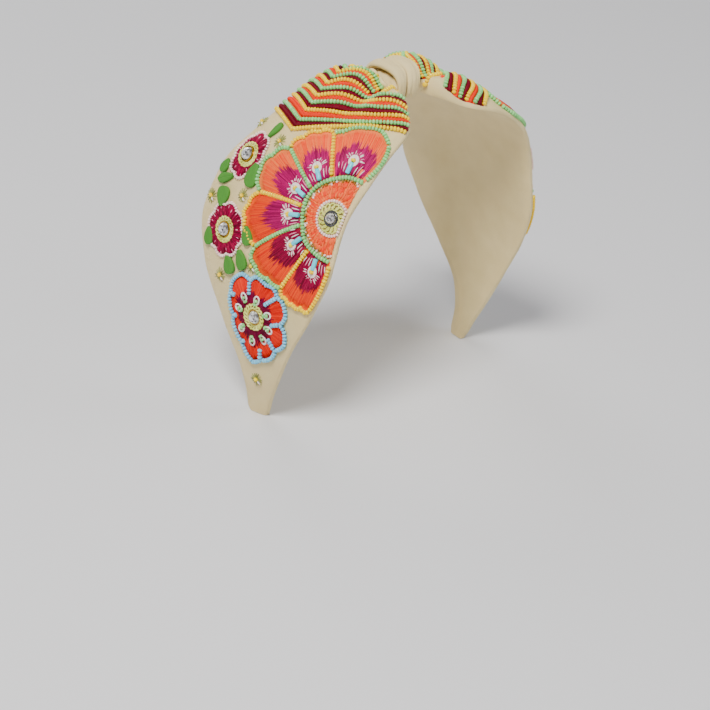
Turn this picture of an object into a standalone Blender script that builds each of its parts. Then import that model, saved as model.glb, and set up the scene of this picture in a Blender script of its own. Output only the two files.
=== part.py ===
"""Fabric headband: two wide embroidered wings that meet in a wrapped knot at the crown.

The frame has X to the wearer's left, Y to the back and Z up. The headband stands on its two
tips on the floor z = 0, with the middle of its outline over the origin.
"""
import math

import bmesh
import bpy
import numpy as np
from mathutils import Matrix, Vector

# Arch of the band, seen from the front: a crown arc runs on into a flatter side arc.
CROWN_RADIUS = 0.0629
CROWN_ANGLE = math.radians(71.7)
SIDE_RADIUS = 0.1684
HALF_LENGTH = 0.1732

# Cloth-covered band.
FRONT_WIDTH = 0.0336
BACK_WIDTH = 0.0446
BAND_THICKNESS = 0.0032
PUFF_HEIGHT = 0.0060
PLEAT_OFFSET = 0.0040
PLEAT_WIDTH = 0.0050
PLEAT_DEPTH = 0.75
PLEAT_PUFF = 0.6
RIDGE_OFFSET = 0.0141
RIDGE_BLEND = 0.0200
LEAN = math.radians(1.3)

# Knot at the crown.
KNOT_WIDTH = 0.0170
WRAP_THICKNESS = 0.0040
WRAP_SQUARE = 0.75
KNOT_CLEARANCE = 0.0008

# Trim that is sewn on.
CUP_RADIUS = 0.0034
CENTRE_STONE_RADIUS = 0.0027
STONE_HEIGHT = 0.0030
LEAF_LENGTH = 0.0100
LEAF_WIDTH = 0.0072
LEAF_THICKNESS = 0.0009
SEAT_GAP = 0.0003

# Meshing.
SECTIONS_ALONG = 34
CROWDING = 1.25
POINTS_ACROSS = 16
WRAP_STATIONS = 28
WRAP_POINTS = 12
STONE_FACETS = 12
LEAF_STEPS = 8
LEAF_ROWS = 2
PROBE = 0.001
MERGE_DISTANCE = 0.00001

# Sections of a wing. along is a share of HALF_LENGTH, front and back are shares of FRONT_WIDTH
# and BACK_WIDTH, tilt and turn are degrees, puff is a share of PUFF_HEIGHT, and square says how
# boxy the section is.
SECTION_COLUMNS = ("along", "front", "back", "tilt", "turn", "puff", "square")
SECTIONS = (
    (0.000, 0.235, 0.185, 0.0, 0.0, 0.95, 2.6),
    (0.050, 0.235, 0.185, 0.0, 0.0, 0.95, 2.6),
    (0.064, 0.49, 0.40, -2.0, 5.0, 1.12, 3.0),
    (0.088, 0.68, 0.58, -4.0, 12.0, 1.12, 3.6),
    (0.120, 0.85, 0.66, -3.6, 14.1, 0.98, 4.2),
    (0.180, 0.945, 0.68, -2.6, 13.7, 0.72, 5.0),
    (0.300, 1.00, 0.805, -1.6, 11.8, 0.35, 5.0),
    (0.420, 0.955, 0.965, -1.6, 8.7, 0.10, 5.0),
    (0.540, 0.965, 1.00, -2.5, 6.9, 0.00, 5.0),
    (0.660, 0.82, 0.835, -2.6, 6.8, 0.00, 5.0),
    (0.780, 0.56, 0.49, -2.8, 9.2, 0.00, 5.0),
    (0.880, 0.36, 0.20, -4.8, 11.5, 0.00, 5.0),
    (0.950, 0.22, 0.125, -8.0, 13.5, 0.00, 4.0),
    (0.988, 0.155, 0.117, -10.0, 15.0, 0.00, 4.0),
    (1.000, 0.125, 0.095, -11.0, 15.2, 0.00, 4.0),
)

# The left wing rolls back a little past the knot. Each row adds a smooth swell to a column of its
# sections: place and spread are shares of HALF_LENGTH, change is in the column's own unit.
LEFT_SWELLS = (
    ("tilt", 0.27, 0.16, 7.0),
    ("turn", 0.28, 0.18, 6.0),
    ("back", 0.085, 0.05, -0.12),
    ("puff", 0.125, 0.055, 0.24),
)

# Wraps of the knot. turn is the way round the band in degrees, from the top over the front;
# place and width are shares of KNOT_WIDTH, thick is a share of WRAP_THICKNESS.
WRAP_COLUMNS = ("turn", "place", "width", "thick")
WRAPS = {
    "knot_wrap_right": (
        (0, -0.24, 0.46, 1.00),
        (90, -0.36, 0.26, 0.62),
        (180, -0.20, 0.40, 0.45),
        (270, -0.24, 0.42, 0.70),
    ),
    "knot_wrap_left": (
        (0, 0.25, 0.46, 0.86),
        (90, 0.02, 0.42, 0.66),
        (180, 0.24, 0.42, 0.45),
        (270, 0.24, 0.46, 0.75),
    ),
}

# Profile of a cut stone in its cup, as shares of its radius and of STONE_HEIGHT.
STONE_PROFILE = ((1.00, 0.00), (1.00, 0.45), (0.84, 0.55), (0.50, 1.00))

# Stones: name, along as a share of HALF_LENGTH, across as a share of BACK_WIDTH behind the
# centre line and of FRONT_WIDTH, with a minus sign, before it, and radius.
STONES = (
    ("big_flower_stone", 0.416, -0.772, CENTRE_STONE_RADIUS),
    ("upper_flower_stone", 0.370, 0.640, CUP_RADIUS),
    ("lower_flower_stone", 0.560, 0.600, CUP_RADIUS),
    ("blue_flower_stone", 0.727, 0.012, CUP_RADIUS),
)

# Leaves: along and across as for stones, heading from the pointed base to the round tip in
# degrees, 0 towards the wing's tip and 90 towards the back, then shares of LEAF_LENGTH and
# LEAF_WIDTH.
LEAVES = (
    (0.292, 0.462, 205.0, 0.78, 0.46),
    (0.420, 0.880, 18.0, 0.66, 0.66),
    (0.445, 0.800, 62.0, 0.92, 0.62),
    (0.489, 0.754, 171.0, 0.84, 1.00),
    (0.410, 0.465, 2.0, 1.02, 1.00),
    (0.596, 0.800, 351.0, 0.76, 0.78),
    (0.547, 0.299, 332.0, 0.80, 0.80),
    (0.636, 0.448, 332.0, 0.78, 0.88),
    (0.609, 0.304, 328.0, 0.85, 0.80),
)
LEAF_BASE = 0.14
LEAF_SHOULDER = 1.5
LEAF_FULLNESS = 0.6

MATERIALS = {
    "beige_satin": ((0.72, 0.60, 0.38), 0.55, 0.0),
    "leaf_green": ((0.09, 0.30, 0.06), 0.70, 0.0),
    "crystal_in_gold": ((0.80, 0.78, 0.72), 0.15, 0.6),
}


def smooth_rows(columns, rows, key, value):
    """Values of the other columns at key = value, on a smooth curve through the rows."""
    table = np.array(rows, dtype=float)
    places = table[:, columns.index(key)]
    rises = np.diff(table, axis=0) / np.diff(places)[:, None]
    before, after = rises[:-1], rises[1:]
    same_way = before * after > 0
    total = np.where(same_way, before + after, 1.0)
    slopes = np.zeros_like(table)
    slopes[1:-1] = np.where(same_way, 2 * before * after / total, 0.0)
    slopes[0], slopes[-1] = rises[0], rises[-1]
    value = min(max(value, places[0]), places[-1])
    index = min(int(np.searchsorted(places, value, side="right")) - 1, len(places) - 2)
    step = places[index + 1] - places[index]
    t = (value - places[index]) / step
    blend = (
        (2 * t**3 - 3 * t**2 + 1) * table[index]
        + (t**3 - 2 * t**2 + t) * step * slopes[index]
        + (3 * t**2 - 2 * t**3) * table[index + 1]
        + (t**3 - t**2) * step * slopes[index + 1]
    )
    return dict(zip(columns, blend))


def arch(distance):
    """Place and slope of the centre line at a distance from the crown, on the +X side."""
    crown_length = CROWN_RADIUS * CROWN_ANGLE
    crown_slope = min(distance / CROWN_RADIUS, CROWN_ANGLE)
    slope = crown_slope + max(distance - crown_length, 0.0) / SIDE_RADIUS
    x = CROWN_RADIUS * math.sin(crown_slope)
    z = CROWN_RADIUS * (math.cos(crown_slope) - 1.0)
    x += SIDE_RADIUS * (math.sin(slope) - math.sin(crown_slope))
    z += SIDE_RADIUS * (math.cos(slope) - math.cos(crown_slope))
    return x, z, slope


def neck_length():
    """Length of the even neck that lies inside the knot."""
    return SECTIONS[1][0] * HALF_LENGTH


def ridge_run(across):
    """Length behind the soft ridge, blended over RIDGE_BLEND."""
    t = min(max((across - RIDGE_OFFSET) / RIDGE_BLEND + 0.5, 0.0), 1.0)
    past = max(across - RIDGE_OFFSET - RIDGE_BLEND / 2, 0.0)
    return RIDGE_BLEND * (t**3 - t**4 / 2) + past


def past_neck(distance):
    """Share of the way out of the knot, from 0 in the neck to 1 at twice its length."""
    return min(max(distance / neck_length() - 1.0, 0.0), 1.0)


def section_row(side, distance):
    """Named values of a wing's section at a distance from the crown."""
    share = distance / HALF_LENGTH
    row = smooth_rows(SECTION_COLUMNS, SECTIONS, "along", share)
    if side > 0:
        for column, place, spread, change in LEFT_SWELLS:
            swell = math.exp(-(((share - place) / spread) ** 2))
            row[column] += change * swell * past_neck(distance)
    return row


def section_point(side, distance, across, lift=0.0, under=0.0):
    """Point on a wing in the arch's frame; under goes from the outer face, 0, to the inside, 1."""
    row = section_row(side, distance)
    edge = row["back"] * BACK_WIDTH if across > 0 else row["front"] * FRONT_WIDTH
    share = min(abs(across) / edge, 1.0)
    tilt = math.radians(row["tilt"])
    turned = math.radians(row["tilt"] + row["turn"])
    run = ridge_run(across)
    y = math.cos(tilt) * across - (math.cos(tilt) - math.cos(turned)) * run
    base = -math.sin(tilt) * across - (math.sin(turned) - math.sin(tilt)) * run

    gathered = min(max((row["puff"] - PLEAT_PUFF) / (1.0 - PLEAT_PUFF), 0.0), 1.0)
    pleat = PLEAT_DEPTH * gathered * math.exp(-(((across + PLEAT_OFFSET) / PLEAT_WIDTH) ** 2))
    puff = PUFF_HEIGHT * row["puff"] * (1.0 - past_neck(distance) * share**4) * (1.0 - pleat)
    half = (BAND_THICKNESS + puff) / 2
    rise = (1.0 - share ** row["square"]) ** (1.0 / row["square"])
    height = base + puff - half + half * rise * (1.0 - 2.0 * under) + lift

    x, z, slope = arch(distance)
    point = Vector((side * (x + height * math.sin(slope)), y, z + height * math.cos(slope)))
    return Matrix.Rotation(LEAN, 3, "X") @ point


def section_loop(side, distance):
    """Closed section of a wing, from the front edge over the outer face and back inside."""
    row = section_row(side, distance)
    places = []
    for step in range(POINTS_ACROSS + 1):
        share = math.sin(math.pi * (step / POINTS_ACROSS - 0.5))
        width = row["back"] * BACK_WIDTH if share > 0 else row["front"] * FRONT_WIDTH
        places.append(share * width)
    outer = [section_point(side, distance, place) for place in places]
    inner = [section_point(side, distance, place, under=1.0) for place in places[-2:0:-1]]
    return outer + inner


def floor_level():
    """Height of the lowest point of the tips, where their feet are cut flat."""
    return min(point.z for side in (-1, 1) for point in section_loop(side, HALF_LENGTH))


def foot_loop(side, loop):
    """The last section slid along the tip onto the floor plane."""
    slope = arch(HALF_LENGTH)[2]
    down = Vector((side * math.cos(slope), 0.0, -math.sin(slope)))
    down = Matrix.Rotation(LEAN, 3, "X") @ down
    level = floor_level()
    return [point + down * ((level - point.z) / down.z) for point in loop]


def wing_loops(side):
    """Sections from the knot's middle to the foot, closer together near the knot."""
    neck = neck_length()
    distances = [SEAT_GAP / 2, neck / 2]
    for step in range(SECTIONS_ALONG + 1):
        share = (step / SECTIONS_ALONG) ** CROWDING
        distances.append(neck + (HALF_LENGTH - neck) * share)
    loops = [section_loop(side, distance) for distance in distances]
    loops[-1] = foot_loop(side, loops[-1])
    return loops


def centring():
    """Move that puts the middle of the wings' outline over the origin and the feet on z = 0."""
    points = [point for side in (-1, 1) for loop in wing_loops(side) for point in loop]
    middle_x = (min(point.x for point in points) + max(point.x for point in points)) / 2
    middle_y = (min(point.y for point in points) + max(point.y for point in points)) / 2
    return Vector((-middle_x, -middle_y, -floor_level()))


def loft(name, loops, capped):
    """Mesh through closed loops of equal length, with end caps or joined round into a ring."""
    mesh = bpy.data.meshes.new(name)
    shape = bmesh.new()
    rows = [[shape.verts.new(point) for point in loop] for loop in loops]
    pairs = list(zip(rows, rows[1:]))
    if capped:
        shape.faces.new(rows[0])
        shape.faces.new(rows[-1])
    else:
        pairs.append((rows[-1], rows[0]))
    for first, second in pairs:
        for here in range(len(first)):
            after = (here + 1) % len(first)
            shape.faces.new((first[here], first[after], second[after], second[here]))
    bmesh.ops.recalc_face_normals(shape, faces=shape.faces)
    shape.to_mesh(mesh)
    shape.free()
    mesh.shade_smooth()
    mesh.set_sharp_from_angle(angle=math.radians(50))
    return mesh


def add_object(name, mesh, material, collection, root):
    """Object for a mesh that is already in the arch's frame, under the root empty."""
    part = bpy.data.objects.new(name, mesh)
    mesh.materials.append(material)
    collection.objects.link(part)
    part.parent = root
    return part


def add_wing(side, name, material, collection, root):
    """One wing, as a padded closed shell from the knot to its foot."""
    return add_object(name, loft(name, wing_loops(side), True), material, collection, root)


def neck_outline(turn, clearance):
    """Point and outward direction on the outline round the necks inside the knot."""
    row = smooth_rows(SECTION_COLUMNS, SECTIONS, "along", 0.0)
    front = row["front"] * FRONT_WIDTH
    back = row["back"] * BACK_WIDTH
    depth = (front + back) / 2 + clearance
    top = PUFF_HEIGHT * row["puff"]
    height = (top + BAND_THICKNESS) / 2 + clearance
    angle = math.radians(turn)
    power = 2.0 / row["square"]
    y = -math.copysign(abs(math.sin(angle)) ** power, math.sin(angle)) * depth
    z = math.copysign(abs(math.cos(angle)) ** power, math.cos(angle)) * height
    outward = Vector((0.0, -math.sin(angle) / depth, math.cos(angle) / height)).normalized()
    middle = Vector((0.0, (back - front) / 2, (top - BAND_THICKNESS) / 2))
    return middle + Vector((0.0, y, z)), outward


def rounded(value):
    """Coordinate of a softly squared section, for a cosine or sine."""
    return math.copysign(abs(value) ** WRAP_SQUARE, value)


def wrap_loops(rows):
    """Sections of one wrap of cloth that runs round both necks."""
    closed = rows + ((360,) + rows[0][1:],)
    before = ((-90,) + rows[-1][1:],)
    after = ((450,) + rows[1][1:],)
    lean = Matrix.Rotation(LEAN, 3, "X")
    loops = []
    for station in range(WRAP_STATIONS):
        turn = 360.0 * station / WRAP_STATIONS
        row = smooth_rows(WRAP_COLUMNS, before + closed + after, "turn", turn)
        seat, outward = neck_outline(turn, KNOT_CLEARANCE)
        half_width = KNOT_WIDTH * row["width"] / 2
        half_thick = WRAP_THICKNESS * row["thick"] / 2
        loop = []
        for step in range(WRAP_POINTS):
            angle = 2 * math.pi * step / WRAP_POINTS
            across, out = rounded(math.cos(angle)), rounded(math.sin(angle))
            sideways = KNOT_WIDTH * row["place"] + half_width * across
            point = seat + outward * half_thick * (1.0 + out)
            loop.append(lean @ (point + Vector((sideways, 0.0, 0.0))))
        loops.append(loop)
    return loops


def width_at(across):
    """Length that an across share stands for."""
    return across * (BACK_WIDTH if across > 0 else FRONT_WIDTH)


def seat_matrix(side, distance, across, lift):
    """Frame on the wing: X along the band, Y to the back, Z straight out of the cloth."""
    here = section_point(side, distance, across, lift)
    along = section_point(side, distance + PROBE, across, lift) - here
    back = section_point(side, distance, across + PROBE, lift) - here
    out = along.cross(back).normalized() * side
    along.normalize()
    back = out.cross(along)
    turned = Matrix((along, back, out)).transposed().to_4x4()
    return Matrix.Translation(here) @ turned


def stone_mesh(name, radius):
    """Cut stone in its cup, turned as a profile with one facet a step."""
    profile = [(radius * across, STONE_HEIGHT * up) for across, up in STONE_PROFILE]
    profile = [(0.0, profile[0][1])] + profile + [(0.0, profile[-1][1])]
    mesh = bpy.data.meshes.new(name)
    shape = bmesh.new()
    points = [shape.verts.new((x, 0.0, z)) for x, z in profile]
    edges = [shape.edges.new(pair) for pair in zip(points, points[1:])]
    bmesh.ops.spin(
        shape,
        geom=points + edges,
        cent=(0.0, 0.0, 0.0),
        axis=(0.0, 0.0, 1.0),
        angle=2 * math.pi,
        steps=STONE_FACETS,
        use_merge=True,
    )
    bmesh.ops.remove_doubles(shape, verts=shape.verts, dist=MERGE_DISTANCE)
    bmesh.ops.recalc_face_normals(shape, faces=shape.faces)
    shape.to_mesh(mesh)
    shape.free()
    return mesh


def add_stone(side, name, along, across, radius, material, collection, root):
    """A stone seated on the wing, with its rim clear of the curved cloth."""
    stone = add_object(name, stone_mesh(name, radius), material, collection, root)
    sag = radius**2 / (2 * CROWN_RADIUS)
    stone.matrix_local = seat_matrix(
        side, along * HALF_LENGTH, width_at(across), SEAT_GAP + sag
    )
    return stone


def leaf_swell(place):
    """Width share of a leaf at a share of its length, from the base to the tip."""
    bulge = math.sin(math.pi * place**LEAF_SHOULDER) ** LEAF_FULLNESS if 0 < place < 1 else 0.0
    return LEAF_BASE + (1.0 - LEAF_BASE) * bulge


def add_leaf(side, name, row, material, collection, root):
    """A leaf that follows the cloth, as an outline grid with Solidify."""
    along, across, heading, long, broad = row
    centre = Vector((along * HALF_LENGTH, width_at(across)))
    ahead = Vector((math.cos(math.radians(heading)), math.sin(math.radians(heading))))
    aside = Vector((-ahead.y, ahead.x))
    mesh = bpy.data.meshes.new(name)
    shape = bmesh.new()
    bmesh.ops.create_grid(shape, x_segments=LEAF_STEPS, y_segments=LEAF_ROWS, size=0.5)
    for vert in shape.verts:
        place = math.sin(math.pi / 2 * min(vert.co.x + 0.5, 1.0))
        forward = LEAF_LENGTH * long * (place - 0.5)
        sideways = LEAF_WIDTH * broad * vert.co.y * leaf_swell(place)
        spot = centre + ahead * forward + aside * sideways
        vert.co = section_point(side, spot.x, spot.y, SEAT_GAP)
    out = seat_matrix(side, centre.x, centre.y, SEAT_GAP).col[2].to_3d()
    shape.normal_update()
    shape.faces.ensure_lookup_table()
    if shape.faces[0].normal.dot(out) < 0:
        bmesh.ops.reverse_faces(shape, faces=shape.faces)
    shape.to_mesh(mesh)
    shape.free()
    leaf = add_object(name, mesh, material, collection, root)
    solid = leaf.modifiers.new("thickness", "SOLIDIFY")
    solid.thickness = LEAF_THICKNESS
    solid.offset = 1.0
    return leaf


def make_material(name, colour, roughness, metallic):
    """Principled material with the part's colour, roughness and metallic value."""
    material = bpy.data.materials.new(name)
    material.use_nodes = True
    shader = material.node_tree.nodes["Principled BSDF"]
    shader.inputs["Base Color"].default_value = (*colour, 1.0)
    shader.inputs["Roughness"].default_value = roughness
    shader.inputs["Metallic"].default_value = metallic
    return material


def main():
    for old in list(bpy.data.objects):
        bpy.data.objects.remove(old, do_unlink=True)
    collection = bpy.data.collections.new("fabric_headband")
    bpy.context.scene.collection.children.link(collection)
    materials = {name: make_material(name, *look) for name, look in MATERIALS.items()}
    root = bpy.data.objects.new("headband_root", None)
    root.location = centring()
    collection.objects.link(root)

    sides = (("right", -1), ("left", 1))
    for word, side in sides:
        add_wing(side, f"wing_{word}", materials["beige_satin"], collection, root)
        for name, along, across, radius in STONES:
            add_stone(
                side, f"{name}_{word}", along, across, radius,
                materials["crystal_in_gold"], collection, root,
            )
        for number, row in enumerate(LEAVES, start=1):
            add_leaf(
                side, f"leaf_{number}_{word}", row, materials["leaf_green"], collection, root
            )
    for name, rows in WRAPS.items():
        add_object(name, loft(name, wrap_loops(rows), False), materials["beige_satin"],
                   collection, root)


main()
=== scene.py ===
# %% [markdown]
# # A fabric headband with a top knot
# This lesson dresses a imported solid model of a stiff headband: two wide padded wings in beige
# satin that meet in a wrapped knot. Beads, cords and stitched flowers are sewn on the wings.
# The solid model is loaded first and never moved. Everything new is placed by the same arch
# and the same section table that the solid wings were lofted from.

# %% Load the frame
import math

import bmesh
import bpy
import numpy as np
from mathutils import Matrix, Vector


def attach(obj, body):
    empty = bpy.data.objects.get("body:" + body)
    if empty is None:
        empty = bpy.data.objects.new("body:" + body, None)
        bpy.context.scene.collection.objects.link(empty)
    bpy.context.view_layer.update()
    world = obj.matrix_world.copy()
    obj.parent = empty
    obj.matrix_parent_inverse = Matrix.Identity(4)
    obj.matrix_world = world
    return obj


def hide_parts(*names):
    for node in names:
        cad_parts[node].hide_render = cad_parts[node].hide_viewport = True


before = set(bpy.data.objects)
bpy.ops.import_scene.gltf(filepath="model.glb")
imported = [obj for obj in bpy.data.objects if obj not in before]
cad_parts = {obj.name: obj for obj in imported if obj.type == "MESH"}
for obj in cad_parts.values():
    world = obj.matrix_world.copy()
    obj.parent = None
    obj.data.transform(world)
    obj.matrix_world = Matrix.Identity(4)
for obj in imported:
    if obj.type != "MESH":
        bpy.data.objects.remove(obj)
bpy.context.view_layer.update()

# %% [markdown]
# ## The surface of a wing
# A sewer marks a pattern on flat cloth before it is stretched over the band. The same is done
# here: a place is given as along, the way from the crown down the arch, and across, the way
# to the back, both in millimetres. One function turns such a place into a point in space.
# Loose points in space would do too, but then nothing would follow the cloth.

# %% Sizes of the arch and the band
MM = 0.001
CROWN_RADIUS = 62.9
CROWN_ANGLE = math.radians(71.7)
SIDE_RADIUS = 168.4
HALF_LENGTH = 173.2
FRONT_WIDTH = 33.6
BACK_WIDTH = 44.6
BAND_THICKNESS = 3.2
PUFF_HEIGHT = 6.0
PLEAT_OFFSET = -4.0
PLEAT_WIDTH = 5.0
PLEAT_DEPTH = 0.75
PLEAT_PUFF = 0.6
PLEAT_START = 4.6
PLEAT_FULL = 8.2
RIDGE_OFFSET = 14.1
RIDGE_BLEND = 20.0
LEAN = math.radians(1.3)

SECTION_COLUMNS = ("along", "front", "back", "tilt", "turn", "puff", "square")
SECTIONS = (
    (0.000, 0.235, 0.185, 0.0, 0.0, 0.95, 2.6),
    (0.050, 0.235, 0.185, 0.0, 0.0, 0.95, 2.6),
    (0.064, 0.49, 0.40, -2.0, 5.0, 1.12, 3.0),
    (0.088, 0.68, 0.58, -4.0, 12.0, 1.12, 3.6),
    (0.120, 0.85, 0.66, -3.6, 14.1, 0.98, 4.2),
    (0.180, 0.945, 0.68, -2.6, 13.7, 0.72, 5.0),
    (0.300, 1.00, 0.805, -1.6, 11.8, 0.35, 5.0),
    (0.420, 0.955, 0.965, -1.6, 8.7, 0.10, 5.0),
    (0.540, 0.965, 1.00, -2.5, 6.9, 0.00, 5.0),
    (0.660, 0.82, 0.835, -2.6, 6.8, 0.00, 5.0),
    (0.780, 0.56, 0.49, -2.8, 9.2, 0.00, 5.0),
    (0.880, 0.36, 0.20, -4.8, 11.5, 0.00, 5.0),
    (0.950, 0.22, 0.125, -8.0, 13.5, 0.00, 4.0),
    (0.988, 0.155, 0.117, -10.0, 15.0, 0.00, 4.0),
    (1.000, 0.125, 0.095, -11.0, 15.2, 0.00, 4.0),
)
LEFT_SWELLS = (
    ("tilt", 0.27, 0.16, 7.0),
    ("turn", 0.28, 0.18, 6.0),
    ("back", 0.085, 0.05, -0.12),
    ("puff", 0.125, 0.055, 0.24),
)
NECK_LENGTH = SECTIONS[1][0] * HALF_LENGTH
SIDES = (("right", -1), ("left", 1))


# %% Smooth rows and the arch
def smooth_rows(columns, rows, value):
    """Other columns at values of the first column, on smooth curves through the rows."""
    table = np.array(rows, dtype=float)
    places = table[:, 0]
    rises = np.diff(table, axis=0) / np.diff(places)[:, None]
    before, after = rises[:-1], rises[1:]
    same_way = before * after > 0
    slopes = np.zeros_like(table)
    total = np.where(same_way, before + after, 1.0)
    slopes[1:-1] = np.where(same_way, 2 * before * after / total, 0.0)
    slopes[0], slopes[-1] = rises[0], rises[-1]
    value = np.clip(np.asarray(value, dtype=float), places[0], places[-1])
    index = np.clip(np.searchsorted(places, value, side="right") - 1, 0, len(places) - 2)
    step = places[index + 1] - places[index]
    t = ((value - places[index]) / step)[..., None]
    step = step[..., None]
    blend = (
        (2 * t**3 - 3 * t**2 + 1) * table[index]
        + (t**3 - 2 * t**2 + t) * step * slopes[index]
        + (3 * t**2 - 2 * t**3) * table[index + 1]
        + (t**3 - t**2) * step * slopes[index + 1]
    )
    return {column: blend[..., k] for k, column in enumerate(columns)}


def arch(along):
    """Place and slope of the centre line at a way from the crown."""
    crown_slope = np.minimum(along / CROWN_RADIUS, CROWN_ANGLE)
    slope = crown_slope + np.maximum(along - CROWN_RADIUS * CROWN_ANGLE, 0.0) / SIDE_RADIUS
    x = CROWN_RADIUS * np.sin(crown_slope) + SIDE_RADIUS * (np.sin(slope) - np.sin(crown_slope))
    z = CROWN_RADIUS * (np.cos(crown_slope) - 1.0)
    z = z + SIDE_RADIUS * (np.cos(slope) - np.cos(crown_slope))
    return x, z, slope


def past_neck(along):
    """Share of the way out of the knot, from 0 in the neck to 1 at twice its length."""
    return np.clip(along / NECK_LENGTH - 1.0, 0.0, 1.0)


def section_row(side, along):
    """Named values of a wing's section; the left wing rolls back a little past the knot."""
    share = np.asarray(along, dtype=float) / HALF_LENGTH
    row = smooth_rows(SECTION_COLUMNS, SECTIONS, share)
    if side > 0:
        for column, place, spread, change in LEFT_SWELLS:
            swell = np.exp(-(((share - place) / spread) ** 2))
            row[column] = row[column] + change * swell * past_neck(share * HALF_LENGTH)
    return row


def edges_at(side, along):
    """Front and back widths of the wing, both positive."""
    row = section_row(side, along)
    return row["front"] * FRONT_WIDTH, row["back"] * BACK_WIDTH


# %% From a place on the cloth to a point in space
PROBE = 0.05


def leaned(points):
    """Points of the arch's own frame, leaned about X as the headband stands."""
    cos, sin = math.cos(LEAN), math.sin(LEAN)
    x, y, z = points[..., 0], points[..., 1], points[..., 2]
    return np.stack([x, cos * y - sin * z, sin * y + cos * z], axis=-1)


def arch_point(side, along, across, lift=0.0, under=0.0):
    """Leaned point over the wing; under goes from the outer face, 0, to the inside, 1."""
    along, across = np.broadcast_arrays(np.asarray(along, float), np.asarray(across, float))
    row = section_row(side, along)
    edge = np.where(across > 0, row["back"] * BACK_WIDTH, row["front"] * FRONT_WIDTH)
    share = np.minimum(np.abs(across) / edge, 1.0)
    tilt = np.radians(row["tilt"])
    turned = np.radians(row["tilt"] + row["turn"])
    t = np.clip((across - RIDGE_OFFSET) / RIDGE_BLEND + 0.5, 0.0, 1.0)
    past = np.maximum(across - RIDGE_OFFSET - RIDGE_BLEND / 2, 0.0)
    run = RIDGE_BLEND * (t**3 - t**4 / 2) + past
    y = np.cos(tilt) * across - (np.cos(tilt) - np.cos(turned)) * run
    base = -np.sin(tilt) * across - (np.sin(turned) - np.sin(tilt)) * run

    gathered = np.clip((row["puff"] - PLEAT_PUFF) / (1.0 - PLEAT_PUFF), 0.0, 1.0)
    opened = np.clip((along - PLEAT_START) / (PLEAT_FULL - PLEAT_START), 0.0, 1.0)
    depth = PLEAT_DEPTH * gathered * opened**2 * (3.0 - 2.0 * opened)
    pleat = depth * np.exp(-(((across - PLEAT_OFFSET) / PLEAT_WIDTH) ** 2))
    puff = PUFF_HEIGHT * row["puff"] * (1.0 - past_neck(along) * share**4) * (1.0 - pleat)
    half = (BAND_THICKNESS + puff) / 2
    rise = (1.0 - share ** row["square"]) ** (1.0 / row["square"])
    height = base + puff - half + half * rise * (1.0 - 2.0 * under) + lift

    x, z, slope = arch(along)
    points = np.stack([side * (x + height * np.sin(slope)), y, z + height * np.cos(slope)], -1)
    return leaned(points)


def standing_shift():
    """Move that centres the outline over the origin and puts the tips on the floor."""
    along = np.linspace(0.0, HALF_LENGTH, 240)[:, None]
    share = np.sin(np.linspace(-math.pi / 2, math.pi / 2, 49))[None, :]
    faces = []
    for _, side in SIDES:
        front, back = edges_at(side, along)
        across = np.where(share > 0, share * back, share * front)
        faces += [arch_point(side, along, across, under=under) for under in (0.0, 1.0)]
    points = np.stack(faces).reshape(-1, 3)
    middle = (points.min(axis=0) + points.max(axis=0)) / 2
    level = min(face[-1, :, 2].min() for face in faces)
    return np.array([-middle[0], -middle[1], -level])


SHIFT = standing_shift()


def cloth(side, along, across, lift=0.0, under=0.0):
    """Point in space, in millimetres, for a place on the wing's cloth."""
    return arch_point(side, along, across, lift, under) + SHIFT


def on_cloth(side, places, lift=0.0):
    """Points in space for pairs of along and across."""
    return cloth(side, places[..., 0], places[..., 1], lift)


def unit(vectors):
    """Vectors scaled to length one."""
    return vectors / np.maximum(np.linalg.norm(vectors, axis=-1, keepdims=True), 1e-12)


def outward(side, along, across):
    """Direction straight out of the cloth."""
    here = cloth(side, along, across)
    ahead = cloth(side, np.asarray(along) + PROBE, across) - here
    aside = cloth(side, along, np.asarray(across) + PROBE) - here
    return unit(np.cross(ahead, aside)) * side


top = cloth(1, 20.0, 0.0)
print("crown height", round(float(SHIFT[2]), 2), "mm; a place near the knot", np.round(top, 1))

# %% [markdown]
# ## Helpers for many small pieces
# Hundreds of beads are copies of one small shape, each turned to follow its row. Separate
# objects would be slow, so one template is modelled with bmesh operators and its copies are
# joined in one mesh with array sums. Threads are curves with a round bevel, made meshes.

# %% Pieces and joined copies
def add_piece(name, mesh, material):
    """Object at the origin for a finished mesh, riding on the headband's one body."""
    piece = bpy.data.objects.new(name, mesh)
    mesh.materials.clear()
    mesh.materials.append(material)
    bpy.context.scene.collection.objects.link(piece)
    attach(piece, "root")
    return piece


def set_tint(mesh, values, domain="POINT"):
    """Attribute by which the materials tell one thread, bead or facet from the next."""
    mesh.attributes.new("tint", "FLOAT", domain).data.foreach_set("value", values)


def finished(shape, name, sharp=None):
    """Smooth mesh of a bmesh, which is freed; edges past sharp degrees stay sharp."""
    mesh = bpy.data.meshes.new(name)
    shape.to_mesh(mesh)
    shape.free()
    mesh.shade_smooth()
    if sharp:
        mesh.set_sharp_from_angle(angle=math.radians(sharp))
    return mesh


def template(shape):
    """Points, face sizes and face corners of a small bmesh, which is freed."""
    shape.verts.index_update()
    points = np.array([vert.co for vert in shape.verts])
    sizes = np.array([len(face.verts) for face in shape.faces])
    corners = np.array([vert.index for face in shape.faces for vert in face.verts])
    shape.free()
    return points, sizes, corners


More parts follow.
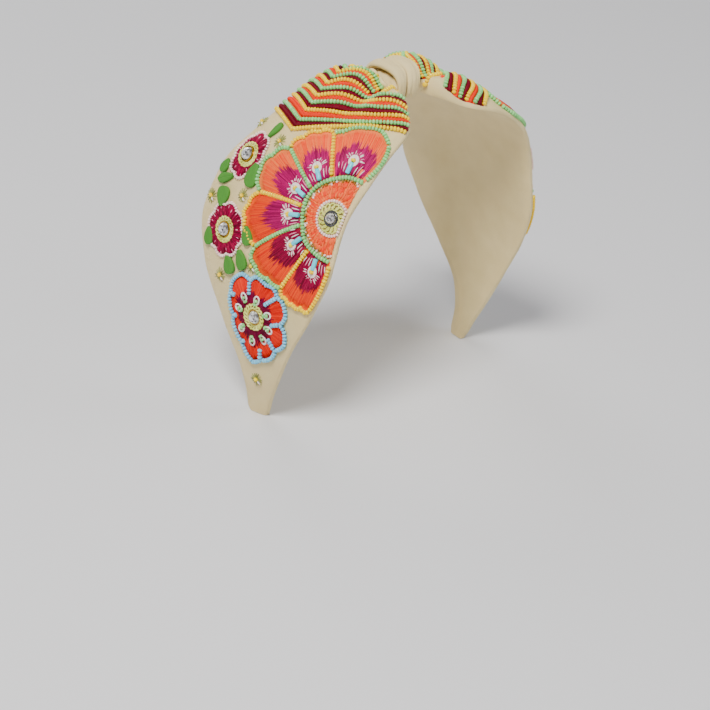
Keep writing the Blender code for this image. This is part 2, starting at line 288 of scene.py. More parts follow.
def joined_copies(name, pattern, spots, scales=1.0, seed=1, sharp=60.0):
    """One mesh of many copies: X of the pattern runs ahead and Z out of the cloth."""
    points, sizes, corners = pattern
    place, ahead, out = spots
    aside = unit(np.cross(out, ahead))
    up = np.cross(ahead, aside)
    scales = np.broadcast_to(np.asarray(scales, float), (len(place), 3))
    local = points[None] * scales[:, None]
    moved = place[:, None] + (
        local[..., 0:1] * ahead[:, None]
        + local[..., 1:2] * aside[:, None]
        + local[..., 2:3] * up[:, None]
    )
    count = len(place)
    all_corners = (corners[None] + np.arange(count)[:, None] * len(points)).ravel()
    all_sizes = np.tile(sizes, count)
    mesh = bpy.data.meshes.new(name)
    mesh.vertices.add(count * len(points))
    mesh.vertices.foreach_set("co", (moved * MM).ravel())
    mesh.loops.add(len(all_corners))
    mesh.loops.foreach_set("vertex_index", all_corners)
    mesh.polygons.add(len(all_sizes))
    mesh.polygons.foreach_set("loop_start", np.r_[0, np.cumsum(all_sizes)[:-1]])
    mesh.update(calc_edges=True)
    tint = np.random.default_rng(seed).random(count)
    set_tint(mesh, np.repeat(tint, len(points)))
    mesh.shade_smooth()
    mesh.set_sharp_from_angle(angle=math.radians(sharp))
    return mesh


# %% Lines on the cloth
LINE_STEP = 0.4
NEARBY = 0.3


def smooth_line(points):
    """Smooth line through a few places, with a place about every LINE_STEP."""
    points = np.array(points, dtype=float)
    first = 2 * points[0] - points[1]
    last = 2 * points[-1] - points[-2]
    padded = np.concatenate([first[None], points, last[None]])
    pieces = []
    for before, here, after, beyond in zip(padded, padded[1:], padded[2:], padded[3:]):
        count = max(int(np.linalg.norm(after - here) / LINE_STEP), 2)
        t = np.linspace(0.0, 1.0, count, endpoint=False)[:, None]
        bend = 2 * before - 5 * here + 4 * after - beyond
        twist = 3 * here - before - 3 * after + beyond
        pieces.append(0.5 * (2 * here + (after - before) * t + bend * t**2 + twist * t**3))
    pieces.append(padded[-2][None])
    return np.concatenate(pieces)


def ways_along(points):
    """Way along a line at each of its points."""
    return np.r_[0.0, np.cumsum(np.linalg.norm(np.diff(points, axis=0), axis=1))]


def at_ways(wanted, ways, points):
    """Points of a line at the wanted ways."""
    return np.stack([np.interp(wanted, ways, column) for column in points.T], -1)


def resampled(line, count):
    """The line with count places at even ways."""
    ways = ways_along(line)
    return at_ways(np.linspace(0.0, ways[-1], count), ways, line)


def follow(side, line, lift, pitch, ends=0.5):
    """Evenly spaced places along a line on the cloth, with the ways ahead and out."""
    dense = on_cloth(side, line, lift)
    ways = ways_along(dense)
    count = max(int(round(ways[-1] / pitch)), 1)
    wanted = (np.arange(count) + ends) * ways[-1] / (count - 1 + 2 * ends)
    chart = at_ways(wanted, ways, line)
    beyond, before = (
        at_ways(np.clip(wanted + step, 0, ways[-1]), ways, dense) for step in (NEARBY, -NEARBY)
    )
    return at_ways(wanted, ways, dense), unit(beyond - before), outward(side, *chart.T)


def gather(spots):
    """Several runs of places as one."""
    return tuple(np.concatenate(column) for column in zip(*spots))


# %% Threads as bevelled curves
WELD_THREAD = 0.0000005


def threads(name, lines, radius, tapers=None, tilts=None, section=None, seed=1):
    """One mesh of many threads along lines in space, with a random tint for each thread."""
    curve = bpy.data.curves.new(name, "CURVE")
    curve.dimensions = "3D"
    curve.use_fill_caps = True
    if section is None:
        curve.bevel_depth = radius * MM
        curve.bevel_resolution = 0
        ring = 4
    else:
        curve.bevel_mode = "OBJECT"
        curve.bevel_object = section
        ring = len(section.data.splines[0].points)
    for number, line in enumerate(lines):
        spline = curve.splines.new("POLY")
        spline.points.add(len(line) - 1)
        rows = np.concatenate([line * MM, np.ones((len(line), 1))], axis=1)
        spline.points.foreach_set("co", rows.ravel())
        if tapers is not None:
            spline.points.foreach_set("radius", tapers[number])
        if tilts is not None:
            spline.points.foreach_set("tilt", tilts[number])
    holder = bpy.data.objects.new(name, curve)
    bpy.context.scene.collection.objects.link(holder)
    ready = holder.evaluated_get(bpy.context.evaluated_depsgraph_get())
    mesh = bpy.data.meshes.new_from_object(ready)
    bpy.data.objects.remove(holder)
    bpy.data.curves.remove(curve)
    tint = np.random.default_rng(seed).random(len(lines))
    caps = np.repeat(tint[::-1], 2 * ring)
    walls = np.repeat(tint, [len(line) * ring for line in lines])
    set_tint(mesh, np.r_[caps, walls])
    shape = bmesh.new()
    shape.from_mesh(mesh)
    bpy.data.meshes.remove(mesh)
    bmesh.ops.remove_doubles(shape, verts=shape.verts, dist=WELD_THREAD)
    return finished(shape, name)


def rope_section(name, radius, lobes, depth, points):
    """Closed outline with lobes, for a cord of twisted plies."""
    curve = bpy.data.curves.new(name, "CURVE")
    curve.dimensions = "2D"
    spline = curve.splines.new("POLY")
    spline.points.add(points - 1)
    spline.use_cyclic_u = True
    for index, point in enumerate(spline.points):
        angle = 2 * math.pi * index / points
        reach = radius * MM * (1.0 - depth * (0.5 + 0.5 * math.cos(lobes * angle)))
        point.co = (reach * math.cos(angle), reach * math.sin(angle), 0.0, 1.0)
    holder = bpy.data.objects.new(name, curve)
    bpy.context.scene.collection.objects.link(holder)
    return holder


# %% Grids and patches laid on the cloth
def share_grid(across_steps, ahead_steps):
    """Grid bmesh with the two shares, each from 0 to 1, of its vertices."""
    shape = bmesh.new()
    bmesh.ops.create_grid(shape, x_segments=across_steps, y_segments=ahead_steps, size=0.5)
    shares = np.array([vert.co for vert in shape.verts]) + 0.5
    return shape, shares[:, 0], shares[:, 1]


def move_vertices(shape, points):
    """Vertices of a bmesh put at points in millimetres."""
    for vert, point in zip(shape.verts, points * MM):
        vert.co = point


def map_cloth(shape, places):
    """UV map in millimetres, which the weave follows."""
    cloth_map = shape.loops.layers.uv.new("cloth")
    for face in shape.faces:
        for corner in face.loops:
            corner[cloth_map].uv = places[corner.vert.index]


def patch_mesh(name, side, chart, lift, across_steps, ahead_steps):
    """Grid patch over the cloth: chart and lift are functions of two shares."""
    shape, sideways, ahead = share_grid(across_steps, ahead_steps)
    places = chart(sideways, ahead)
    move_vertices(shape, on_cloth(side, places, lift(sideways, ahead)))
    shape.normal_update()
    shape.faces.ensure_lookup_table()
    middle = shape.faces[len(shape.faces) // 2]
    place = places[middle.verts[0].index]
    if middle.normal.dot(Vector(outward(side, *place))) < 0:
        bmesh.ops.reverse_faces(shape, faces=shape.faces)
    return finished(shape, name)


def join_meshes(name, meshes):
    """One mesh of several."""
    shape = bmesh.new()
    for mesh in meshes:
        shape.from_mesh(mesh)
        bpy.data.meshes.remove(mesh)
    return finished(shape, name)


# %% [markdown]
# ## Finishes
# The real band has five kinds of surface: satin cloth, silk thread, opaque glass beads,
# coated leaf cloth, and gilt metal with cut stones. Uneven dye and weave are needed in
# several of them, so each is one shader node group with named sockets; the dye group also
# paints the stones' facets light and dark, a painted reflection. The shader stays in
# the material, with its constant values on its own sockets.

# %% Node groups
def link(tree, start, end):
    """Join two sockets."""
    tree.links.new(start, end)


def new_group(name, inputs, outputs):
    """Empty shader node group with named sockets and its two end nodes."""
    group = bpy.data.node_groups.new(name, "ShaderNodeTree")
    for label, kind, value in inputs:
        socket = group.interface.new_socket(label, in_out="INPUT", socket_type=kind)
        socket.default_value = value
    for label, kind in outputs:
        group.interface.new_socket(label, in_out="OUTPUT", socket_type=kind)
    return group, group.nodes.new("NodeGroupInput"), group.nodes.new("NodeGroupOutput")


def add_node(tree, kind, **values):
    """Node with its settings."""
    node = tree.nodes.new(kind)
    for key, value in values.items():
        setattr(node, key, value)
    return node


def feed(tree, sockets, values):
    """Sockets given a number or colour each, or joined to another socket."""
    for socket, value in zip(sockets, values):
        if isinstance(value, (int, float, tuple)):
            socket.default_value = value
        else:
            link(tree, value, socket)


def maths(tree, operation, first, second):
    """Math node of two sockets or numbers."""
    node = add_node(tree, "ShaderNodeMath", operation=operation)
    feed(tree, node.inputs, (first, second))
    return node.outputs[0]


def mixed(tree, share, first, second):
    """Colour between two colours."""
    node = add_node(tree, "ShaderNodeMix", data_type="RGBA")
    feed(tree, (node.inputs[0], node.inputs[6], node.inputs[7]), (share, first, second))
    return node.outputs[2]


def make_dye_and_painted_reflections():
    """Colour that drifts over the piece and from one thread, bead or facet to the next;
    on a stone's facets the light and dark greys are painted reflections.
    """
    colour = (0.5, 0.5, 0.5, 1.0)
    group, given, result = new_group(
        "dye_and_painted_reflections",
        (
            ("Colour", "NodeSocketColor", colour),
            ("Shade", "NodeSocketColor", colour),
            ("Patch Size", "NodeSocketFloat", 300.0),
            ("Patches", "NodeSocketFloat", 0.5),
            ("Each", "NodeSocketFloat", 0.5),
        ),
        (("Colour", "NodeSocketColor"),),
    )
    place = add_node(group, "ShaderNodeTexCoord")
    noise = add_node(group, "ShaderNodeTexNoise")
    noise.inputs["Detail"].default_value = 3.0
    link(group, place.outputs["Object"], noise.inputs["Vector"])
    link(group, given.outputs["Patch Size"], noise.inputs["Scale"])
    tint = add_node(group, "ShaderNodeAttribute", attribute_name="tint")
    patch = maths(group, "MULTIPLY", noise.outputs["Fac"], given.outputs["Patches"])
    each = maths(group, "MULTIPLY", tint.outputs["Fac"], given.outputs["Each"])
    share = maths(group, "ADD", patch, each)
    colour = mixed(group, share, given.outputs["Colour"], given.outputs["Shade"])
    link(group, colour, result.inputs["Colour"])
    return group


def make_woven():
    """Weave of two crossing thread directions, from the piece's own UV map in millimetres."""
    group, given, result = new_group(
        "woven",
        (("Threads", "NodeSocketFloat", 4.0), ("Slub", "NodeSocketFloat", 0.3)),
        (("Height", "NodeSocketFloat"),),
    )
    place = add_node(group, "ShaderNodeUVMap", uv_map="cloth")
    waves = []
    for direction in ("X", "Y"):
        wave = add_node(group, "ShaderNodeTexWave", bands_direction=direction)
        wave.inputs["Distortion"].default_value = 0.4
        link(group, place.outputs["UV"], wave.inputs["Vector"])
        link(group, given.outputs["Threads"], wave.inputs["Scale"])
        waves.append(wave.outputs["Fac"])
    crossed = maths(group, "MULTIPLY", *waves)
    slub = add_node(group, "ShaderNodeTexNoise")
    link(group, place.outputs["UV"], slub.inputs["Vector"])
    slub.inputs["Scale"].default_value = 0.6
    extra = maths(group, "MULTIPLY", slub.outputs["Fac"], given.outputs["Slub"])
    link(group, maths(group, "ADD", crossed, extra), result.inputs["Height"])
    return group


def make_fibres():
    """Fine height of spun fibre or grain, from object coordinates in metres."""
    group, given, result = new_group(
        "fibres",
        (("Fineness", "NodeSocketFloat", 4000.0), ("Roughness", "NodeSocketFloat", 0.5)),
        (("Height", "NodeSocketFloat"), ("Roughness", "NodeSocketFloat")),
    )
    place = add_node(group, "ShaderNodeTexCoord")
    noise = add_node(group, "ShaderNodeTexNoise")
    noise.inputs["Detail"].default_value = 4.0
    link(group, place.outputs["Object"], noise.inputs["Vector"])
    link(group, given.outputs["Fineness"], noise.inputs["Scale"])
    link(group, noise.outputs["Fac"], result.inputs["Height"])
    spread = maths(group, "MULTIPLY", noise.outputs["Fac"], 0.25)
    rough = maths(group, "ADD", given.outputs["Roughness"], spread)
    link(group, rough, result.inputs["Roughness"])
    return group


DYE_AND_PAINTED_REFLECTIONS = make_dye_and_painted_reflections()
WOVEN = make_woven()
FIBRES = make_fibres()
print("node groups", [group.name for group in (DYE_AND_PAINTED_REFLECTIONS, WOVEN, FIBRES)])


# %% Materials
def linear(red, green, blue):
    """Scene colour for a colour as it is seen on a screen, from 0 to 255."""
    return tuple(
        ((value / 255 + 0.055) / 1.055) ** 2.4 if value > 10 else value / 255 / 12.92
        for value in (red, green, blue)
    ) + (1.0,)


def dyed_and_painted_reflection_material(name, colour, shade, patches, each, patch_size, **constants):
    """Principled material whose colour is uneven, which on a stone's facets is painted
    reflection; the constants go on the shader's sockets.
    """
    material = bpy.data.materials.new(name)
    material.use_nodes = True
    tree = material.node_tree
    shader = tree.nodes["Principled BSDF"]
    dye = add_node(tree, "ShaderNodeGroup", node_tree=DYE_AND_PAINTED_REFLECTIONS)
    dye.inputs["Colour"].default_value = linear(*colour)
    dye.inputs["Shade"].default_value = linear(*shade)
    dye.inputs["Patch Size"].default_value = patch_size
    dye.inputs["Patches"].default_value = patches
    dye.inputs["Each"].default_value = each
    link(tree, dye.outputs["Colour"], shader.inputs["Base Color"])
    for key, value in constants.items():
        shader.inputs[key.replace("_", " ")].default_value = value
    return material


def raise_surface(material, height, strength, distance):
    """Bump from a height socket."""
    tree = material.node_tree
    bump = add_node(tree, "ShaderNodeBump")
    bump.inputs["Strength"].default_value = strength
    bump.inputs["Distance"].default_value = distance * MM
    link(tree, height, bump.inputs["Height"])
    link(tree, bump.outputs["Normal"], tree.nodes["Principled BSDF"].inputs["Normal"])


def satin_material(name, colour, shade):
    """Satin cloth: soft gloss, faint weave."""
    material = dyed_and_painted_reflection_material(name, colour, shade, patches=0.9, each=0.0, patch_size=110.0,
                             Roughness=0.46, Sheen_Weight=0.08, Sheen_Roughness=0.4)
    weave = add_node(material.node_tree, "ShaderNodeGroup", node_tree=WOVEN)
    weave.inputs["Slub"].default_value = 1.6
    raise_surface(material, weave.outputs["Height"], 0.45, 0.12)
    return material


def thread_material(name, colour, shade, roughness=0.36):
    """Embroidery silk: fibres, a soft gloss and a tone of its own for each strand."""
    material = dyed_and_painted_reflection_material(name, colour, shade, patches=0.2, each=0.85, patch_size=500.0,
                             Specular_IOR_Level=0.13)
    tree = material.node_tree
    fibres = add_node(tree, "ShaderNodeGroup", node_tree=FIBRES)
    fibres.inputs["Roughness"].default_value = roughness
    link(tree, fibres.outputs["Roughness"], tree.nodes["Principled BSDF"].inputs["Roughness"])
    raise_surface(material, fibres.outputs["Height"], 0.5, 0.05)
    return material


def bead_material(name, colour, shade):
    """Opaque glass bead: smooth, glossy, a little different from one bead to the next."""
    return dyed_and_painted_reflection_material(name, colour, shade, patches=0.15, each=0.55, patch_size=900.0,
                         Roughness=0.16, Specular_IOR_Level=0.3, Coat_Weight=0.06,
                         Coat_Roughness=0.05)


def metal_material(name, colour, shade, roughness):
    """Pressed metal with uneven wear of its plating."""
    return dyed_and_painted_reflection_material(name, colour, shade, patches=0.8, each=0.0, patch_size=900.0,
                         Metallic=1.0, Roughness=roughness)


SATIN = satin_material("beige_satin_cloth", (240, 220, 164), (220, 196, 134))
BEADS = {
    "yellow": bead_material("yellow_bead_glass", (255, 226, 0), (255, 194, 0)),
    "green": bead_material("green_bead_glass", (152, 230, 140), (106, 192, 106)),
    "blue": bead_material("sky_bead_glass", (140, 216, 246), (92, 178, 218)),
    "pearl": bead_material("pearl_bead_glass", (255, 242, 230), (250, 190, 192)),
    "gold": bead_material("brown_gold_bead_glass", (196, 134, 36), (92, 46, 26)),
    "turquoise": bead_material("turquoise_bugle_glass", (96, 230, 250), (70, 210, 238)),
}
THREADS = {
    "maroon": thread_material("maroon_cord_silk", (128, 0, 34), (74, 0, 18)),
    "orange": thread_material("orange_cord_silk", (250, 58, 4), (214, 28, 0)),
    "coral": thread_material("coral_silk", (255, 132, 66), (246, 44, 6)),
    "flame": thread_material("flame_silk", (255, 92, 20), (220, 14, 0)),
    "red_coral": thread_material("red_coral_silk", (246, 56, 18), (210, 14, 2)),
    "magenta": thread_material("magenta_silk", (206, 0, 116), (118, 0, 56)),
    "wine": thread_material("wine_silk", (172, 0, 70), (88, 0, 28)),
    "plum": thread_material("plum_silk", (136, 0, 58), (80, 0, 34)),
    "lime": thread_material("lime_cord_silk", (240, 244, 146), (206, 208, 92)),
    "olive": thread_material("olive_ray_silk", (186, 190, 112), (124, 132, 72)),
    "white": thread_material("white_silk", (255, 250, 242), (244, 222, 220)),
    "rose": thread_material("rose_silk", (255, 176, 196), (240, 132, 170)),
}
LEAF_GREEN = thread_material("leaf_green_cloth", (78, 142, 54), (36, 86, 32), roughness=0.5)
METALS = {
    "gilt": metal_material("gilt_metal", (206, 166, 62), (160, 116, 38), 0.26),
    "silver": metal_material("silvered_metal", (170, 170, 172), (110, 108, 108), 0.24),
}
# Each facet is painted a random grey from white to dark: painted reflections that stand in for
# the sparkle cut glass takes from its surroundings.
CRYSTAL_PAINTED_REFLECTIONS = dyed_and_painted_reflection_material("foiled_crystal_painted_reflections", (255, 255, 255), (84, 80, 84), patches=0.0,
                        each=1.0, patch_size=1500.0, Metallic=0.5, Roughness=0.06,
                        IOR=1.6, Coat_Weight=1.0, Coat_Roughness=0.02)
print("materials", len(bpy.data.materials))

# %% [markdown]
# ## Wing covers
# Each wing is a stiff band with padding at its top, covered in satin that is turned round the
# edges. It could be a sheet draped on the solid, but the band holds the cloth taut, so the
# cover is a fine grid wrapped round the sections, front edge to back edge and back inside,
# with the soft pleat that the knot pulls into it. Inside the knot the neck is full again.

# %% Wing covers
ALONG_STEPS = 260
NECK_PART = 0.06
TIP_CROWDING = 1.2
ROUND_STEPS = 120
WELD_CLOTH = 0.00001
GATHER_HEIGHT = 0.28
GATHER_REACH = 9.0
GATHER_WAVES = ((1.0, 1.45, 0.12, 0.0), (0.6, 0.8, 0.0, -1.1))
HEM_WIDTH = 5.0
HEM_HEIGHT = 0.25
HEM_STEEPNESS = 4.0


def gathers(along, across, under):
    """Small folds that run from the knot into the wing, as a lift of the outer face."""
    near = np.exp(-(((along - GATHER_REACH) / GATHER_REACH) ** 2))
    folds = sum(share * np.cos(across * rate + along * slant + start)
                for share, rate, slant, start in GATHER_WAVES)
    return GATHER_HEIGHT * near * folds * (1.0 - under)


def hem(side, along, across, under):
    """Turned-in hem on the inside, a step that follows the edges."""
    front, back = edges_at(side, along)
    inward = np.minimum(back - across, across + front)
    return -HEM_HEIGHT * under / (1.0 + np.exp((inward - HEM_WIDTH) * HEM_STEEPNESS))


def add_padded(shape, name, solid, sharp=None):
    """Satin piece of a closed bmesh that stands for a padded solid."""
    piece = add_piece(name, finished(shape, name, sharp), SATIN)
    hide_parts(solid)
    print(name, len(piece.data.polygons), "faces")


def add_wing_cover(word, side):
    """Closed satin cover of one wing."""
    shape, part, turn = share_grid(ALONG_STEPS, ROUND_STEPS)
    past_part = np.maximum((part - NECK_PART) / (1 - NECK_PART), 0.0) ** TIP_CROWDING
    along = np.where(part < NECK_PART, part / NECK_PART * NECK_LENGTH,
                     NECK_LENGTH + (HALF_LENGTH - NECK_LENGTH) * past_part)
    turn = turn * 2.0
    under = (turn > 1.0).astype(float)
    share = np.sin(math.pi * (np.where(turn > 1.0, 2.0 - turn, turn) - 0.5))
    front, back = edges_at(side, along)
    across = np.where(share > 0, share * back, share * front)
    inside = np.clip(1.0 - np.abs(share) ** 6, 0.0, 1.0)
    lift = (gathers(along, across, under) + hem(side, along, across, under)) * inside
    points = cloth(side, along, across, lift, under)
    slope = arch(HALF_LENGTH)[2]
    down = leaned(np.array([side * math.cos(slope), 0.0, -math.sin(slope)]))
    foot = part > 1.0 - 1e-6
    points[foot] -= down * (points[foot][:, 2:3] / down[2])
    move_vertices(shape, points)
    map_cloth(shape, np.stack([along, turn * (front + back) / 2], axis=1))
    bmesh.ops.remove_doubles(shape, verts=shape.verts, dist=WELD_CLOTH)
    rims = [edge for edge in shape.edges if edge.is_boundary]
    bmesh.ops.holes_fill(shape, edges=rims, sides=0)
    bmesh.ops.recalc_face_normals(shape, faces=shape.faces)
    add_padded(shape, f"wing_cover_{word}", f"wing_{word}", sharp=60)


for word, side in SIDES:
    add_wing_cover(word, side)

# %% [markdown]
# ## Knot
# The knot is two strips of satin that pass slantwise round the necks of the wings. Each could
# be a plain ring, but pulled cloth bunches into ridges that run round the ring, so each strip
# is a fine tube whose section swells and dips along soft fold lines.

# %% Knot wraps
KNOT_WIDTH = 17.0
WRAP_THICKNESS = 4.0
WRAP_ROUND = 60.0
KNOT_CLEARANCE = 0.8
WRAP_COLUMNS = ("turn", "place", "width", "thick")
WRAPS = {
    "knot_wrap_right": (
        (0, -0.24, 0.46, 1.00),
        (90, -0.36, 0.26, 0.62),
        (180, -0.20, 0.40, 0.45),
        (270, -0.24, 0.42, 0.70),
    ),
    "knot_wrap_left": (
        (0, 0.25, 0.46, 0.86),
        (90, 0.02, 0.42, 0.66),
        (180, 0.24, 0.42, 0.45),
        (270, 0.24, 0.46, 0.75),
    ),
}
WRAP_FOLDS = ((-0.5, 1.25, 1.3), (0.6, 1.05, -0.8), (0.05, 0.85, 0.5))
FOLD_SPREAD = 0.095
FOLD_WANDER = 0.22
FOLD_FADE = 0.45


def signed_power(value, power):
    """Power that keeps the sign."""
    return np.sign(value) * np.abs(value) ** power


def neck_outline(turn):
    """Point and outward way on the outline round the necks, in the arch's own frame."""
    row = smooth_rows(SECTION_COLUMNS, SECTIONS, 0.0)
    front, back = row["front"] * FRONT_WIDTH, row["back"] * BACK_WIDTH
    depth = (front + back) / 2 + KNOT_CLEARANCE
    top = PUFF_HEIGHT * row["puff"]
    height = (top + BAND_THICKNESS) / 2 + KNOT_CLEARANCE
    power = 2.0 / row["square"]
    y = -signed_power(np.sin(turn), power) * depth + (back - front) / 2
    z = signed_power(np.cos(turn), power) * height + (top - BAND_THICKNESS) / 2
    out = unit(np.stack([0 * y, -np.sin(turn) / depth, np.cos(turn) / height], -1))
    return np.stack([0 * y, y, z], -1), out


def fold_dips(turn, across):
    """Depth of the folds at a turn in radians and a share across the strip, -1 to 1."""
    dip = np.zeros(len(turn))
    for place, depth, drift in WRAP_FOLDS:
        line = place + FOLD_WANDER * np.sin(turn + drift)
        fade = 1.0 - FOLD_FADE + FOLD_FADE * np.cos(turn + drift * 2.0)
        dip = dip + depth * fade * np.exp(-(((across - line) / FOLD_SPREAD) ** 2))
    return dip


def add_knot_wrap(name, rows):
    """One strip of the knot with its folds."""
    shape, turn_share, round_share = share_grid(144, 64)
    closed = ((-90,) + rows[-1][1:],) + rows + ((360,) + rows[0][1:], (450,) + rows[1][1:])
    row = smooth_rows(WRAP_COLUMNS, closed, 360.0 * turn_share)
    turn = np.radians(360.0 * turn_share)
    seat, out = neck_outline(turn)
    across, rise = np.cos(2 * math.pi * round_share), np.sin(2 * math.pi * round_share)
    thick = WRAP_THICKNESS * row["thick"] / 2
    reach = thick * (1.0 + rise) - np.clip(rise, 0.0, 1.0) * fold_dips(turn, across)
    sideways = KNOT_WIDTH * (row["place"] + row["width"] / 2 * across)
    points = seat + out * reach[:, None] + sideways[:, None] * np.array([1.0, 0.0, 0.0])
    move_vertices(shape, leaned(points) + SHIFT)
    map_cloth(shape, np.stack([turn_share * WRAP_ROUND, round_share * KNOT_WIDTH], axis=1))
    bmesh.ops.remove_doubles(shape, verts=shape.verts, dist=WELD_CLOTH)
    bmesh.ops.recalc_face_normals(shape, faces=shape.faces)
    add_padded(shape, f"{name}_cloth", name)


for name, rows in WRAPS.items():
    add_knot_wrap(name, rows)

# %% Tucks beside the knot
TUCKS = (
    ((8.2, 6.8), (8.8, 4.0), (8.4, 1.4)),
    ((8.2, 0.8), (9.2, -1.8), (8.4, -4.8)),
)
TUCK_RADIUS = 1.7
TUCK_LIFT = 0.8
TUCK_ENDS = 0.25


def add_tucks(word, side):
    """Small rolled tucks of cloth that show where the wing goes under the knot."""
    lines, tapers = [], []
    for points in TUCKS:
        line = smooth_line(points)
        lines.append(on_cloth(side, line, TUCK_LIFT))
        swell = np.sin(math.pi * np.linspace(0.0, 1.0, len(line))) ** 0.6
        tapers.append(TUCK_ENDS + (1.0 - TUCK_ENDS) * swell)
    outline = rope_section("tuck_outline", TUCK_RADIUS, 2, 0.35, 20)
    mesh = threads(f"knot_tucks_{word}", lines, TUCK_RADIUS, tapers, section=outline, seed=9)
    bpy.data.objects.remove(outline)
    add_piece(mesh.name, mesh, SATIN)
    print(mesh.name, len(lines), "tucks")


for word, side in SIDES:
    add_tucks(word, side)

# %% [markdown]
# ## Beads
# A seed bead is a short drawn-glass tube with rounded rims, and in a row one sees barrels side
# by side. A sphere would look like a pearl string, so the template is a short cylinder whose
# rims are bevelled. Each row is a line on the cloth, and the beads sit on it at an even pitch.

# %% Bead templates and rows
BEAD_RADIUS = 1.02
BEAD_PITCH = 1.42
BEAD_FILL = 0.86
BEAD_LIFT = 0.80
SMALL_BEAD_RADIUS = 0.72
SMALL_BEAD_PITCH = 1.26
SMALL_BEAD_FILL = 0.8
SMALL_BEAD_LIFT = 0.60
BEAD_SPREAD = 0.035


def barrel(radius, length, sides, rim):
    """Barrel along X whose rims are rounded by a share of its radius."""
    shape = bmesh.new()
    turned = Matrix.Rotation(math.pi / 2, 4, "Y")
    bmesh.ops.create_cone(shape, cap_ends=True, segments=sides, radius1=radius, radius2=radius,
                          depth=length, matrix=turned)
    rims = [edge for edge in shape.edges if len({round(v.co.x, 5) for v in edge.verts}) == 1]
    bmesh.ops.bevel(shape, geom=rims, offset=radius * rim, offset_type="OFFSET",
                    affect="EDGES", segments=2, profile=0.5, material=-1)
    return template(shape)


BEAD = barrel(BEAD_RADIUS, BEAD_PITCH * BEAD_FILL, 8, 0.5)
SMALL_BEAD = barrel(SMALL_BEAD_RADIUS, SMALL_BEAD_PITCH * SMALL_BEAD_FILL, 7, 0.6)


def bead_row(side, line, lift=BEAD_LIFT):
    """Places of the beads along a line."""
    return follow(side, line, lift, BEAD_PITCH)


def small_bead_row(side, line, lift=SMALL_BEAD_LIFT):
    """Places of the small beads along a line."""
    return follow(side, line, lift, SMALL_BEAD_PITCH)


def add_beads(name, colour, spots, scales=1.0, seed=1, pattern=BEAD):
    """One piece with a bead at every spot."""
    add_piece(name, joined_copies(name, pattern, spots, scales, seed), BEADS[colour])
    print(name, len(spots[0]), "beads")


def string_beads(name, colour, rows, seed, pattern=BEAD):
    """One piece with all the beads of some rows, a little uneven in size."""
    spots = gather(rows)
    size = np.random.default_rng(seed + 50).normal(1.0, BEAD_SPREAD, (len(spots[0]), 1))
    add_beads(name, colour, spots, np.clip(size, 0.9, 1.08), seed, pattern)


# %% [markdown]
# ## Chevron stripes
# Rows of yellow and green beads run in chevrons from the back edge over a kink behind the
# middle to the front edge, with a maroon or orange cord between each pair. Near the knot the
# rows dip into the pleat. Evenly offset copies of one line would miss that, so every row has
# its own few points, from its back end over its kink to its front end, and a cord takes the
# middle way between its two neighbours.

# %% Rows of the chevrons
STRIPES = (
    ((42.1, 27.4), (47.5, 12.2), (40.6, -2.3), (36.7, -10.5), (32.6, -18.0), (29.4, -24.0),
     (23.9, -29.9)),
    ((36.8, 28.5), (42.9, 11.7), (37.3, -2.6), (33.4, -12.4), (29.7, -19.2), (25.2, -24.6),
     (20.1, -27.7)),
    ((32.2, 27.0), (38.2, 12.0), (34.2, 0.8), (30.4, -9.6), (27.0, -16.9), (22.4, -22.2),
     (16.4, -25.7)),
    ((29.3, 26.0), (34.6, 12.2), (30.9, 4.6), (27.9, -1.6), (25.7, -9.0), (22.6, -16.4),
     (14.3, -24.2)),
    ((26.6, 25.5), (31.2, 12.6), (27.7, 6.7), (24.7, 0.3), (22.6, -5.0), (21.0, -11.8),
     (12.6, -22.3)),
    ((22.8, 25.6), (27.7, 13.0), (23.4, 5.2), (20.3, -0.9), (18.5, -6.6), (16.6, -12.0),
     (10.3, -18.6)),
    ((19.6, 24.5), (24.6, 13.2), (20.6, 8.8), (18.7, 3.0), (17.3, -2.6)),
    ((16.9, 22.6), (21.2, 13.7), (16.7, 7.8), (15.2, 3.2), (14.9, -3.4)),
    ((15.2, 18.6), (18.2, 13.6), (13.6, 8.8), (12.0, 3.2), (12.9, -3.6)),
    ((13.0, 15.8), (15.4, 12.2), (11.0, 8.0), (10.0, 3.0), (10.9, -3.8)),
    ((10.8, 15.0), (12.4, 11.0), (9.3, 7.2), (8.6, 3.4), (9.3, -1.2)),
)
FRONT_LOBE = ((16.4, -9.6), (13.0, -9.2), (9.6, -8.9), (7.4, -9.6))
EDGE_MARGIN = 0.2
EDGE_STEP = 0.25
EDGE_TRIES = 80
LEG_SAMPLES = 60


def edge_room(side, place):
    """Way that a place has left to the wing's edge, before or behind it."""
    front, back = edges_at(side, place[0])
    return back - place[1] if place[1] > 0 else place[1] + front


def reach_edge(side, first, second):
    """Last place before the wing's edge on the way from first through second."""
    first, second = np.array(first), np.array(second)
    step = (second - first) / np.linalg.norm(second - first) * EDGE_STEP
    place = second
    for _ in range(EDGE_TRIES):
        if edge_room(side, place) < EDGE_MARGIN:
            break
        place = place + step
    for _ in range(EDGE_TRIES):
        if edge_room(side, place) >= EDGE_MARGIN:
            break
        place = place - step
    return place


def stripe_line(side, row):
    """A chevron row, evenly sampled on each leg and run out to the wing's edges."""
    back_end, kink = row[:2]
    front_leg = list(row[1:])
    if front_leg[-1][1] < PLEAT_OFFSET - PLEAT_WIDTH:
        front_leg[-1] = reach_edge(side, *front_leg[-2:])
    legs = (reach_edge(side, kink, back_end), kink), front_leg
    back, front = (resampled(smooth_line(leg), LEG_SAMPLES) for leg in legs)
    return np.concatenate([back[:-1], front])


